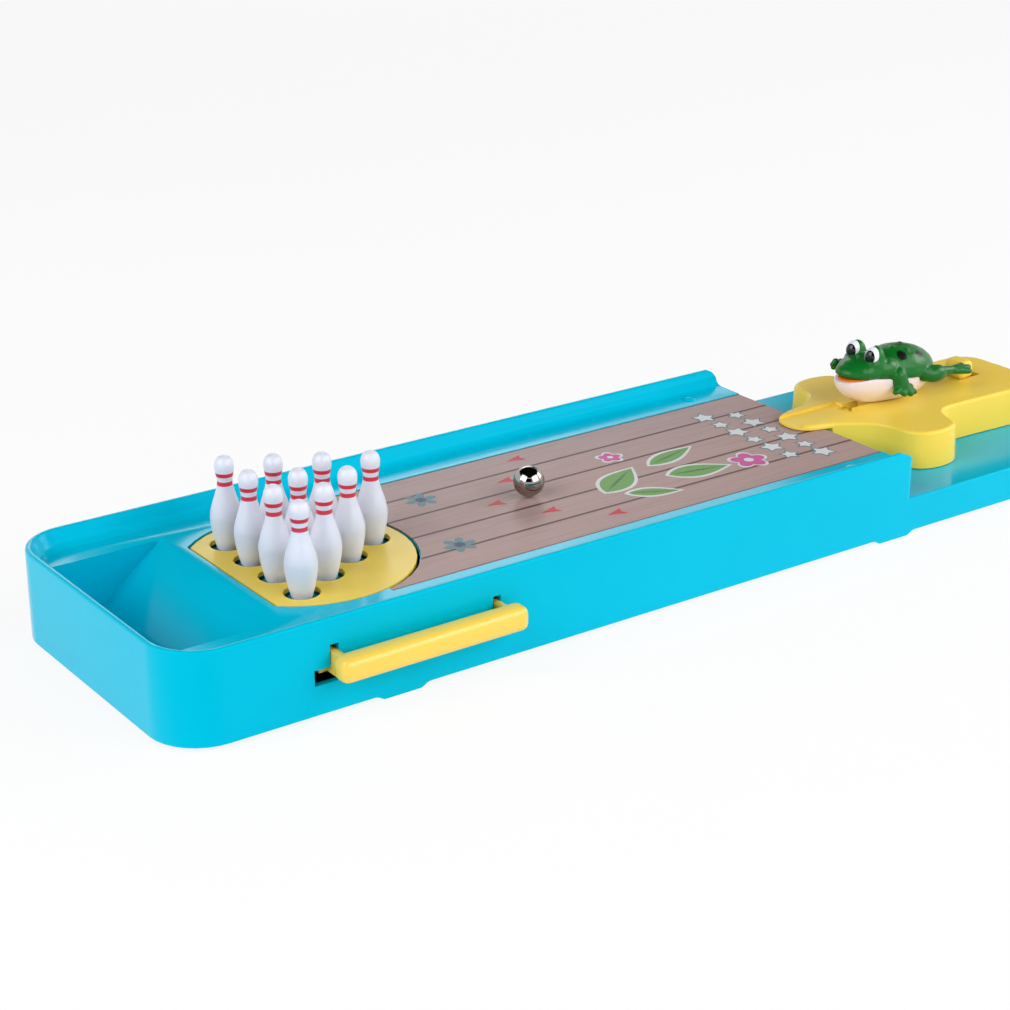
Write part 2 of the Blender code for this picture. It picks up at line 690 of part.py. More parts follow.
def plate_outline(gap):
    """The pin plate's round outline with its straight side, grown by a gap."""
    radius = PLATE_RADIUS + gap
    chord = PLATE_CHORD_PLACE - gap
    angle = math.acos((PLATE_CENTRE - chord) / radius)
    return arc(PLATE_CENTRE, 0, radius, angle - math.pi, math.pi - angle, PLATE_ARC_STEPS)


def pin_places():
    """The pins' places, row by row from the head pin to the pit."""
    places = []
    for row in range(PIN_ROWS):
        x = HEAD_PIN_PLACE - row * PIN_ROW_PITCH
        for index in range(row + 1):
            places.append((x, (index - row / 2) * PIN_PITCH))
    return places


def plate_screw_places():
    """Two screws near the lane side and one behind the straight side."""
    places = []
    for angle in PLATE_SCREW_ANGLES:
        x = PLATE_CENTRE + PLATE_SCREW_RADIUS * math.cos(angle)
        x = max(x, PLATE_CHORD_PLACE + PLATE_SCREW_CHORD_INSET)
        places.append((x, PLATE_SCREW_RADIUS * math.sin(angle)))
    return places


def stand_screw_places():
    """The four ears of the pin stand."""
    return [(x, y) for x in STAND_EAR_PLACES for y in (-STAND_EAR_OFFSET, STAND_EAR_OFFSET)]


def cover_screw_places():
    """Three pairs of screws along the base cover."""
    insets = zip(COVER_SCREW_PLACES, COVER_SCREW_INSETS)
    pairs = [(x, TRAY_WIDTH / 2 - inset) for x, inset in insets]
    return [(x, side * y) for x, y in pairs for side in (-1, 1)]


def build_base_tub():
    """The moulded tray: walls, ledges, pit, openings, hollow underside, bosses and feet."""
    tub = tray_solid(
        "base_tub", 0, STEP_PLACE, CORNER_RADIUS, STEP_ROUNDING, RIM_HEIGHT, RIM_ROUNDING,
    )
    place(tub, tray_frame, GAME, CYAN)
    low_start = PLATE_CENTRE + PLATE_RADIUS
    deck = tray_solid(
        "deck", low_start, TRAY_LENGTH, STEP_ROUNDING, CORNER_RADIUS, DECK_HEIGHT, DECK_ROUNDING,
    )
    union(tub, deck)
    boolean(tub, trough_cutter())
    boolean(tub, pit_cutter())
    recess_floor = SHEET_TOP - SHEET_THICKNESS - CLEARANCE
    boolean(tub, block(
        "sheet_recess", SHEET_START - CLEARANCE, STEP_PLACE + OVERRUN,
        -LEDGE_EDGE, LEDGE_EDGE, recess_floor, RIM_HEIGHT,
    ))
    boolean(tub, low_hollow_cutter())
    boolean(tub, deck_hollow_cutter())
    boolean(tub, lane_hollow_cutter())
    boolean(tub, ledge_pocket_cutter())
    boolean(tub, plate("plate_opening", plate_outline(PLATE_GAP), DECK_HEIGHT, RIM_HEIGHT))
    edge = TRAY_WIDTH / 2
    for index, x in enumerate(SLOT_PLACES):
        boolean(tub, block(
            f"slot_{index}", x - SLOT_HALF_WIDTH, x + SLOT_HALF_WIDTH,
            -edge - OVERRUN, WALL * 2 - edge, SLOT_FOOT_LOW, SLOT_TOP,
        ))
        boolean(tub, block(
            f"slot_foot_{index}", x - SLOT_FOOT_HALF_WIDTH, x + SLOT_FOOT_HALF_WIDTH,
            -edge - OVERRUN, WALL * 2 - edge, SLOT_FOOT_LOW, SLOT_FOOT_HIGH,
        ))
    low_foot, high_foot = FOOT_PLACES
    boolean(tub, foot_gap_cutter("gap_pin_end", -OVERRUN, low_foot, False, True))
    boolean(tub, foot_gap_cutter("gap_middle", low_foot + FOOT_LENGTH, high_foot, True, True))
    boolean(tub, foot_gap_cutter(
        "gap_deck", high_foot + FOOT_LENGTH, TRAY_LENGTH + OVERRUN, True, False,
    ))
    cover_top = SKIRT_HEIGHT + COVER_THICKNESS
    high_bosses = [spot for spot in cover_screw_places() if spot[0] < STEP_PLACE]
    low_bosses = [spot for spot in cover_screw_places() if spot[0] > STEP_PLACE]
    roof = LEDGE_HEIGHT - WALL / 2
    union(tub, cylinders(
        "high_bosses", high_bosses, BOSS_RADIUS, cover_top + CLEARANCE, roof, SCREW_STEPS,
    ))
    union(tub, cylinders(
        "low_bosses", low_bosses, BOSS_RADIUS, cover_top + CLEARANCE, DECK_HEIGHT - WALL / 2,
        SCREW_STEPS,
    ))
    stand_top = STAND_LOW + STAND_THICKNESS
    union(tub, cylinders(
        "stand_bosses", stand_screw_places(), BOSS_RADIUS, stand_top + CLEARANCE, roof,
        SCREW_STEPS,
    ))
    hole = SHANK_RADIUS + SHANK_CLEARANCE
    boolean(tub, cylinders(
        "cover_screw_holes", cover_screw_places(), hole, 0,
        cover_top + SCREW_BITE + CLEARANCE * 2, SCREW_STEPS,
    ))
    boolean(tub, cylinders(
        "stand_screw_holes", stand_screw_places(), hole, STAND_LOW,
        stand_top + SCREW_BITE + CLEARANCE * 2, SCREW_STEPS,
    ))
    boolean(tub, cylinders(
        "hub_hole", [(SWIVEL_PLACE, 0)], HUB_RADIUS + CLEARANCE, PIT_FLOOR, RIM_HEIGHT,
        PLATE_ARC_STEPS // 2,
    ))
    for side in (-1, 1):
        union(tub, pip(f"pip_{side + 1}", side * PIP_OFFSET))
    return tub


def pip(name, y):
    """A low round bump on a ledge."""
    shape = bmesh.new()
    size = Vector((PIP_RADIUS, PIP_RADIUS, PIP_HEIGHT))
    matrix = Matrix.LocRotScale(Vector((PIP_PLACE, y, LEDGE_HEIGHT)), None, size)
    bmesh.ops.create_uvsphere(
        shape, u_segments=LIMB_SIDES, v_segments=LIMB_RINGS, radius=1, matrix=matrix,
    )
    return from_bmesh(name, shape)


def screw(name, x, y, seat, parent, shank=SHANK_RADIUS, head=SCREW_HEAD_RADIUS,
          head_height=SCREW_HEAD_HEIGHT, reach=SCREW_BITE):
    """A screw driven upwards: its head lies below the seat and its shank reaches up."""
    profile = [
        (0, seat + reach),
        (shank, seat + reach),
        (shank, seat),
        (head, seat),
        (head, seat - head_height),
        (0, seat - head_height),
    ]
    thing = turned(name, profile, SCREW_STEPS, (x, y, 0))
    place(thing, parent, GAME, ZINC)
    return thing


def build_base_cover():
    """The flat cover that closes the tray from below, with sunk screw holes."""
    outline = rounded_plan(
        0, TRAY_LENGTH, TRAY_WIDTH / 2, CORNER_RADIUS, CORNER_RADIUS, WALL + CLEARANCE,
    )
    top = SKIRT_HEIGHT + COVER_THICKNESS
    cover = plate("base_cover", outline, SKIRT_HEIGHT, top)
    place(cover, tray_frame, GAME, CYAN)
    seat = SKIRT_HEIGHT + SCREW_HEAD_HEIGHT + CLEARANCE
    boolean(cover, cylinders(
        "cover_holes", cover_screw_places(), SHANK_RADIUS + SHANK_CLEARANCE, 0, RIM_HEIGHT,
        SCREW_STEPS,
    ))
    boolean(cover, cylinders(
        "cover_sinks", cover_screw_places(), SCREW_HEAD_RADIUS + SHANK_CLEARANCE,
        0, seat, SCREW_STEPS,
    ))
    for index, (x, y) in enumerate(cover_screw_places()):
        screw(f"cover_screw_{index + 1}", x, y, seat - CLEARANCE, tray_frame)


def build_lane_sheet():
    """The printed sheet, notched round the pin plate."""
    radius = PLATE_RADIUS + PLATE_GAP + CLEARANCE
    angle = math.acos((SHEET_START - PLATE_CENTRE) / radius)
    edge = LEDGE_EDGE - CLEARANCE
    notch = arc(PLATE_CENTRE, 0, radius, angle, -angle, PLATE_ARC_STEPS // 2)
    end = STEP_PLACE - CLEARANCE
    points = [(SHEET_START, edge), *notch, (SHEET_START, -edge), (end, -edge), (end, edge)]
    sheet = plate("lane_sheet", points, SHEET_TOP - SHEET_THICKNESS, SHEET_TOP)
    place(sheet, tray_frame, GAME, PRINT)


def build_pin_plate():
    """The round plate with ten holes, and the three bosses below it."""
    low = SHEET_TOP - PLATE_THICKNESS
    holes = [
        arc(x, y, PIN_HOLE_RADIUS, 0, -2 * math.pi, PIN_HOLE_STEPS)[:-1] for x, y in pin_places()
    ]
    disc = plate("pin_plate", plate_outline(0), low, SHEET_TOP, holes=holes)
    place(disc, tray_frame, GAME, YELLOW)
    foot = low - PLATE_BOSS_DROP
    union(disc, cylinders(
        "plate_bosses", plate_screw_places(), PLATE_BOSS_RADIUS, foot, low + PLATE_THICKNESS / 2,
        SCREW_STEPS,
    ))
    boolean(disc, cylinders(
        "plate_boss_holes", plate_screw_places(), SHANK_RADIUS + SHANK_CLEARANCE,
        foot - OVERRUN, low + PLATE_THICKNESS / 2, SCREW_STEPS,
    ))


def build_lift_frame():
    """The ring below the plate, its two rails and the webs between them."""
    outer = plate_outline(-FRAME_RIM_INSET)
    inner = plate_outline(-FRAME_RIM_INSET - FRAME_RIM_WIDTH)
    frame = plate("lift_frame", outer, FRAME_LOW, FRAME_HIGH)
    place(frame, tray_frame, GAME, CYAN)
    boolean(frame, plate("frame_opening", inner, FRAME_LOW - OVERRUN, FRAME_HIGH + OVERRUN))
    union(frame, cylinders(
        "frame_pads", plate_screw_places(), FRAME_PAD_RADIUS, FRAME_LOW, FRAME_HIGH, SCREW_STEPS,
    ))
    rail_start = SLOT_PLACES[0] - RAIL_OVERHANG
    rail_end = SLOT_PLACES[1] + RAIL_OVERHANG
    for side in (-1, 1):
        y = side * RAIL_OFFSET
        union(frame, block(
            f"rail_{side + 1}", rail_start, rail_end, y - RAIL_HALF_WIDTH, y + RAIL_HALF_WIDTH,
            RAIL_LOW, RAIL_HIGH,
        ))
        for x in WEB_PLACES:
            near, far = sorted((side * WEB_INNER_OFFSET, y))
            union(frame, block(
                f"web_{side + 1}_{x}", x - WEB_HALF_WIDTH, x + WEB_HALF_WIDTH, near, far,
                FRAME_LOW + CLEARANCE, RAIL_HIGH - CLEARANCE,
            ))
    hole = SHANK_RADIUS + SHANK_CLEARANCE
    boolean(frame, cylinders(
        "frame_holes", plate_screw_places(), hole, FRAME_LOW - OVERRUN, FRAME_HIGH + OVERRUN,
        SCREW_STEPS,
    ))
    arms = [(x, -RAIL_OFFSET) for x in HANDLE_SCREW_PLACES]
    boolean(frame, cylinders(
        "rail_holes", arms, hole, RAIL_LOW - OVERRUN, RAIL_HIGH + OVERRUN, SCREW_STEPS,
    ))
    for index, (x, y) in enumerate(plate_screw_places()):
        screw(f"plate_screw_{index + 1}", x, y, FRAME_LOW - CLEARANCE, tray_frame,
              reach=FRAME_HIGH - FRAME_LOW + PLATE_BOSS_DROP)


def build_lift_handle():
    """The bar outside the near wall, with two arms and the flanges that hold them inside."""
    handle = block(
        "lift_handle", HANDLE_START, HANDLE_END, -HANDLE_FRONT_OFFSET, -HANDLE_BACK_OFFSET,
        HANDLE_LOW, HANDLE_HIGH,
    )
    place(handle, tray_frame, GAME, YELLOW)
    bevel = handle.modifiers.new("rounded", "BEVEL")
    bevel.width = HANDLE_ROUNDING
    bevel.segments = HANDLE_ROUNDING_STEPS
    middle = -(HANDLE_FRONT_OFFSET + HANDLE_BACK_OFFSET) / 2
    for index, x in enumerate(SLOT_PLACES):
        arm_inner = FLANGE_INNER_OFFSET + RAIL_HALF_WIDTH * 2 + CLEARANCE * 2
        union(handle, block(
            f"arm_{index}", x - ARM_HALF_WIDTH, x + ARM_HALF_WIDTH, middle, -arm_inner,
            ARM_LOW, HANDLE_HIGH - CLEARANCE,
        ))
        union(handle, block(
            f"flange_{index}", x - FLANGE_HALF_WIDTH, x + FLANGE_HALF_WIDTH,
            -FLANGE_OUTER_OFFSET, -FLANGE_INNER_OFFSET,
            ARM_LOW - CLEARANCE, ARM_LOW + FLANGE_THICKNESS,
        ))
    screws = [(x, -RAIL_OFFSET) for x in HANDLE_SCREW_PLACES]
    low = ARM_LOW - CLEARANCE
    boolean(handle, cylinders(
        "handle_holes", screws, SHANK_RADIUS + SHANK_CLEARANCE, SKIRT_HEIGHT, RAIL_LOW, SCREW_STEPS,
    ))
    for index, (x, y) in enumerate(screws):
        screw(f"handle_screw_{index + 1}", x, y, low - CLEARANCE, tray_frame)


def build_pin_stand():
    """The plate of ten posts that the pins stand on."""
    low = STAND_LOW
    high = STAND_LOW + STAND_THICKNESS
    start = PLATE_CHORD_PLACE + STAND_INSET
    end = PLATE_CENTRE + PLATE_RADIUS - STAND_INSET
    stand = block("pin_stand", start, end, -STAND_HALF_WIDTH, STAND_HALF_WIDTH, low, high)
    place(stand, tray_frame, GAME, CYAN)
    for index, x in enumerate(STAND_EAR_PLACES):
        union(stand, block(
            f"ear_bar_{index}", x - STAND_EAR_RADIUS, x + STAND_EAR_RADIUS,
            -STAND_EAR_OFFSET, STAND_EAR_OFFSET, low, high,
        ))
    union(stand, cylinders("ears", stand_screw_places(), STAND_EAR_RADIUS, low, high, SCREW_STEPS))
    reach = LIFT_SPRING_RADIUS + LIFT_SPRING_WIRE_RADIUS * 3
    union(stand, block(
        "spring_seats", LIFT_SPRING_PLACE - reach, LIFT_SPRING_PLACE + reach,
        -RAIL_OFFSET - reach, RAIL_OFFSET + reach, low, high,
    ))
    union(stand, cylinders(
        "posts", pin_places(), POST_RADIUS, high - STAND_THICKNESS / 2, POST_TOP, POST_STEPS,
    ))
    boolean(stand, cylinders(
        "ear_holes", stand_screw_places(), SHANK_RADIUS + SHANK_CLEARANCE,
        low - OVERRUN, high + OVERRUN, SCREW_STEPS,
    ))
    for index, (x, y) in enumerate(stand_screw_places()):
        screw(f"stand_screw_{index + 1}", x, y, low - CLEARANCE, tray_frame)


def coil(name, radius, wire_radius, length, turns, matrix, parent):
    """A wire coil along its own Z, from zero to its length, placed by a matrix."""
    curve = bpy.data.curves.new(name, "CURVE")
    curve.dimensions = "3D"
    curve.bevel_depth = wire_radius
    curve.bevel_resolution = WIRE_BEVEL_STEPS
    curve.use_fill_caps = True
    count = turns * WIRE_POINTS_PER_TURN
    spline = curve.splines.new("POLY")
    spline.points.add(count)
    rise = length - wire_radius * 2
    for index, point in enumerate(spline.points):
        angle = 2 * math.pi * index / WIRE_POINTS_PER_TURN
        height = wire_radius + rise * index / count
        point.co = (radius * math.cos(angle), radius * math.sin(angle), height, 1)
    thing = bpy.data.objects.new(name, curve)
    thing.matrix_world = matrix
    wire = mesh_from_curve(name, thing)
    place(wire, parent, GAME, ZINC)


def build_lift_springs():
    """The two springs that hold the plate up."""
    low = STAND_LOW + STAND_THICKNESS + CLEARANCE
    length = RAIL_LOW - CLEARANCE - low
    for index, side in enumerate((-1, 1)):
        matrix = Matrix.Translation((LIFT_SPRING_PLACE, side * RAIL_OFFSET, low))
        coil(f"lift_spring_{index + 1}", LIFT_SPRING_RADIUS, LIFT_SPRING_WIRE_RADIUS,
             length, LIFT_SPRING_TURNS, matrix, tray_frame)


def build_pins():
    """Ten turned pins, which share one profile."""
    profile = [(r * PIN_BELLY_RADIUS, h * PIN_HEIGHT) for r, h in PIN_PROFILE_SHARES]
    seat = POST_TOP + CLEARANCE
    for index, (x, y) in enumerate(pin_places()):
        pin = turned(f"pin_{index + 1:02d}", profile, PIN_STEPS, (x, y, seat))
        place(pin, tray_frame, GAME, WHITE)


def build_ball():
    """The steel ball on the lane."""
    shape = bmesh.new()
    bmesh.ops.create_uvsphere(
        shape, u_segments=BALL_SIDES, v_segments=BALL_RINGS, radius=BALL_RADIUS,
    )
    ball = from_bmesh("ball", shape)
    ball.location = (BALL_PLACE, 0, SHEET_TOP + CLEARANCE + BALL_RADIUS)
    place(ball, tray_frame, GAME, STEEL)


def smooth_loop(points, steps):
    """A closed Catmull-Rom curve through the points."""
    result = []
    count = len(points)
    for index in range(count):
        near = [Vector(points[(index + shift) % count]) for shift in (-1, 0, 1, 2)]
        before, here, there, beyond = near
        for step in range(steps):
            t = step / steps
            spot = here * 2 + (there - before) * t
            spot += (before * 2 - here * 5 + there * 4 - beyond) * t * t
            spot += (here * 3 - before - there * 3 + beyond) * t * t * t
            result.append(tuple(spot / 2))
    return result


def launcher_outline(inset, steps=OUTLINE_STEPS):
    """The launcher's foot-shaped plan, drawn in by an inset. Its far toe is a little shorter."""
    near = [(x * LAUNCHER_REACH, y * LAUNCHER_SPREAD) for x, y in TOE_OUTLINE_SHARES]
    far = []
    for x, y in reversed(near):
        far.append((x, -y * FAR_TOE_SHARE if abs(y) > CHANNEL_HALF_WIDTH * 2 else -y))
    points = smooth_loop(near + far, steps)
    moved = []
    count = len(points)
    for index in range(count):
        before = Vector(points[index - 1])
        after = Vector(points[(index + 1) % count])
        along = (after - before).normalized()
        moved.append((points[index][0] - along.y * inset, points[index][1] + along.x * inset))
    return moved


def launcher_solid(name, inset, low, high, edge):
    """A solid of the launcher's plan with a rounded upper edge."""
    levels = [(launcher_outline(inset - LAUNCHER_DRAFT), low)]
    for draw_in, rise in rounding(edge):
        levels.append((launcher_outline(inset + draw_in), high - edge + rise))
    return lofted(name, levels)


def front_cutter(name, radius, low, high):
    """What lies beyond an arc about the swivel axis, in front of the launcher's lower body."""
    far = LAUNCHER_REACH + LAUNCHER_SPREAD
    low_angle = math.pi - BODY_FRONT_SPREAD
    high_angle = math.pi + BODY_FRONT_SPREAD
    inner = arc(0, 0, radius, low_angle, high_angle, BODY_FRONT_STEPS)
    outer = arc(0, 0, far, high_angle, low_angle, BODY_FRONT_STEPS)
    return plate(name, inner + outer, low, high)


def build_launcher_body():
    """The yellow shell with its tongue over the lane, ball channel, slots and screw bosses."""
    foot = DECK_HEIGHT + CLEARANCE
    body = launcher_solid("launcher_body", 0, foot, LAUNCHER_TOP, LAUNCHER_ROUNDING)
    place(body, swivel_frame, GAME, YELLOW)
    boolean(body, front_cutter("under_tongue", BODY_FRONT_RADIUS, foot - OVERRUN, TONGUE_UNDERSIDE))
    hollow = plate(
        "launcher_hollow", launcher_outline(LAUNCHER_WALL, 1), foot - OVERRUN, LAUNCHER_ROOF,
    )
    place(hollow, swivel_frame, CUTTERS)
    keep_front = BODY_FRONT_RADIUS - LAUNCHER_WALL
    boolean(hollow, front_cutter("front_wall", keep_front, foot - OVERRUN * 2, RIM_HEIGHT))
    boolean(body, hollow)
    boolean(body, block(
        "ball_channel", -LAUNCHER_REACH - OVERRUN, -CHANNEL_BACK,
        -CHANNEL_HALF_WIDTH, CHANNEL_HALF_WIDTH, CHANNEL_FLOOR, RIM_HEIGHT,
    ))
    gap = CLEARANCE * 2
    boolean(body, block(
        "striker_slot", -PLUNGER_FRONT - gap, STRIKER_LENGTH + PLUNGER_TRAVEL + gap - PLUNGER_FRONT,
        -STRIKER_HALF_WIDTH - gap, STRIKER_HALF_WIDTH + gap, LAUNCHER_ROOF - OVERRUN, RIM_HEIGHT,
    ))
    boolean(body, block(
        "stem_slot", -STEM_FRONT - gap, STEM_REAR + PLUNGER_TRAVEL + gap,
        -STEM_HALF_WIDTH - gap, STEM_HALF_WIDTH + gap, LAUNCHER_ROOF - OVERRUN, RIM_HEIGHT,
    ))
    cover_top = foot + LAUNCHER_COVER_THICKNESS
    union(body, cylinders(
        "launcher_bosses", LAUNCHER_SCREW_PLACES, BOSS_RADIUS, cover_top + CLEARANCE,
        LAUNCHER_TOP - LAUNCHER_WALL, SCREW_STEPS,
    ))
    boolean(body, cylinders(
        "launcher_boss_holes", LAUNCHER_SCREW_PLACES, SHANK_RADIUS + SHANK_CLEARANCE, foot,
        cover_top + SCREW_BITE + CLEARANCE * 2, SCREW_STEPS,
    ))
    boolean(body, cylinders(
        "frog_peg_hole", [(-PEG_PLACES[0], 0)], PEG_RADIUS + CLEARANCE,
        LAUNCHER_TOP - PEG_DEPTH - CLEARANCE, RIM_HEIGHT, SCREW_STEPS,
    ))


def build_launcher_cover():
    """The launcher's floor: hub, guide for the plunger and sunk screw holes."""
    low = DECK_HEIGHT + CLEARANCE
    high = low + LAUNCHER_COVER_THICKNESS
    cover = plate("launcher_cover", launcher_outline(LAUNCHER_WALL + CLEARANCE, 1), low, high)
    place(cover, swivel_frame, GAME, YELLOW)
    keep_front = BODY_FRONT_RADIUS - LAUNCHER_WALL - CLEARANCE
    boolean(cover, front_cutter("cover_front", keep_front, low - OVERRUN, high + OVERRUN))
    bed = PLUNGER_LOW - CLEARANCE
    inner = PLUNGER_HALF_WIDTH + CLEARANCE
    outer = inner + GUIDE_WALL
    union(cover, block(
        "guide", -GUIDE_FRONT, -GUIDE_BACK, -outer, outer, high - LAUNCHER_COVER_THICKNESS / 2,
        bed + PLUNGER_HEIGHT,
    ))
    boolean(cover, block(
        "guide_groove", -GUIDE_FRONT - OVERRUN, OVERRUN - GUIDE_BACK, -inner, inner, bed, RIM_HEIGHT,
    ))
    deck_underside = DECK_HEIGHT - WALL
    hub_low = deck_underside - HUB_REACH
    union(cover, cylinders(
        "hub", [(0, 0)], HUB_RADIUS, hub_low, high - LAUNCHER_COVER_THICKNESS / 2, PLATE_ARC_STEPS // 2,
    ))
    boolean(cover, cylinders(
        "swivel_hole", [(0, 0)], SWIVEL_SHANK_RADIUS + SHANK_CLEARANCE,
        SKIRT_HEIGHT, RIM_HEIGHT, SCREW_STEPS,
    ))
    boolean(cover, cylinders(
        "launcher_cover_holes", LAUNCHER_SCREW_PLACES, SHANK_RADIUS + SHANK_CLEARANCE,
        low - OVERRUN, high + OVERRUN, SCREW_STEPS,
    ))
    seat = low + SCREW_HEAD_HEIGHT + CLEARANCE
    boolean(cover, cylinders(
        "launcher_cover_sinks", LAUNCHER_SCREW_PLACES, SCREW_HEAD_RADIUS + SHANK_CLEARANCE,
        low - OVERRUN, seat, SCREW_STEPS,
    ))
    for index, (x, y) in enumerate(LAUNCHER_SCREW_PLACES):
        screw(f"launcher_screw_{index + 1}", x, y, seat - CLEARANCE, swivel_frame)


def build_swivel():
    """The washer and screw that hold the launcher's hub down through the deck."""
    top = DECK_HEIGHT - WALL - HUB_REACH - CLEARANCE
    low = top - WASHER_THICKNESS
    hole = SWIVEL_SHANK_RADIUS + SHANK_CLEARANCE
    profile = [(hole, top), (WASHER_RADIUS, top), (WASHER_RADIUS, low), (hole, low), (hole, top)]
    washer = turned("swivel_washer", profile, PLATE_ARC_STEPS // 2)
    place(washer, swivel_frame, GAME, ZINC)
    screw("swivel_screw", 0, 0, low - CLEARANCE, swivel_frame, SWIVEL_SHANK_RADIUS,
          SWIVEL_HEAD_RADIUS, SWIVEL_HEAD_HEIGHT, SWIVEL_BITE)


def build_plunger():
    """The sliding plunger with its striker in front, and the knob that pulls it back."""
    top = PLUNGER_LOW + PLUNGER_HEIGHT
    plunger = block(
        "plunger", -PLUNGER_FRONT, PLUNGER_REAR, -PLUNGER_HALF_WIDTH, PLUNGER_HALF_WIDTH,
        PLUNGER_LOW, top,
    )
    place(plunger, swivel_frame, GAME, YELLOW)
    union(plunger, block(
        "striker", -PLUNGER_FRONT, STRIKER_LENGTH - PLUNGER_FRONT,
        -STRIKER_HALF_WIDTH, STRIKER_HALF_WIDTH, PLUNGER_LOW + CLEARANCE, STRIKER_TOP,
    ))
    knob_low = LAUNCHER_TOP + CLEARANCE
    union(plunger, block(
        "stem", -STEM_FRONT, STEM_REAR, -STEM_HALF_WIDTH, STEM_HALF_WIDTH,
        PLUNGER_LOW + CLEARANCE, knob_low - CLEARANCE * 2 + KNOB_HEIGHT / 2,
    ))
    knob = block(
        "launch_knob", -KNOB_FRONT, KNOB_LENGTH - KNOB_FRONT, -KNOB_HALF_WIDTH, KNOB_HALF_WIDTH,
        knob_low, knob_low + KNOB_HEIGHT,
    )
    place(knob, swivel_frame, GAME, YELLOW)
    bevel = knob.modifiers.new("rounded", "BEVEL")
    bevel.width = KNOB_ROUNDING
    bevel.segments = KNOB_ROUNDING_STEPS
    gap = CLEARANCE
    boolean(knob, block(
        "knob_socket", -STEM_FRONT - gap, STEM_REAR + gap, -STEM_HALF_WIDTH - gap,
        STEM_HALF_WIDTH + gap, knob_low - OVERRUN, knob_low + KNOB_HEIGHT / 2,
    ))
    start = PLUNGER_REAR + gap
    end = launcher_rear() - LAUNCHER_WALL - gap * 3
    middle = PLUNGER_LOW + PLUNGER_HEIGHT / 2
    turn = Matrix.Translation((start, 0, middle)) @ Matrix.Rotation(math.radians(90), 4, "Y")
    coil("plunger_spring", PLUNGER_SPRING_RADIUS, PLUNGER_SPRING_WIRE_RADIUS, end - start,
         PLUNGER_SPRING_TURNS, turn, swivel_frame)


def launcher_rear():
    """How far the launcher reaches behind its swivel axis."""
    return max(x for x, y in launcher_outline(0))


def ellipsoid(name, centre, radii, tilt=0.0, turn=0.0, sides=LIMB_SIDES, rings=LIMB_RINGS):
    """A stretched sphere, tilted about Y and turned about Z."""
    shape = bmesh.new()
    rotation = Matrix.Rotation(turn, 3, "Z") @ Matrix.Rotation(tilt, 3, "Y")
    matrix = Matrix.LocRotScale(Vector(centre), rotation.to_quaternion(), Vector(radii))
    bmesh.ops.create_uvsphere(shape, u_segments=sides, v_segments=rings, radius=1, matrix=matrix)
    return from_bmesh(name, shape)


def frog_spot(share):
    """A place on the frog from shares of its length, counted from its snout and its jaw line."""
    x, y, z = share
    return (x * FROG_LENGTH - FROG_FRONT, y * FROG_LENGTH, JAW_HEIGHT + z * FROG_LENGTH)


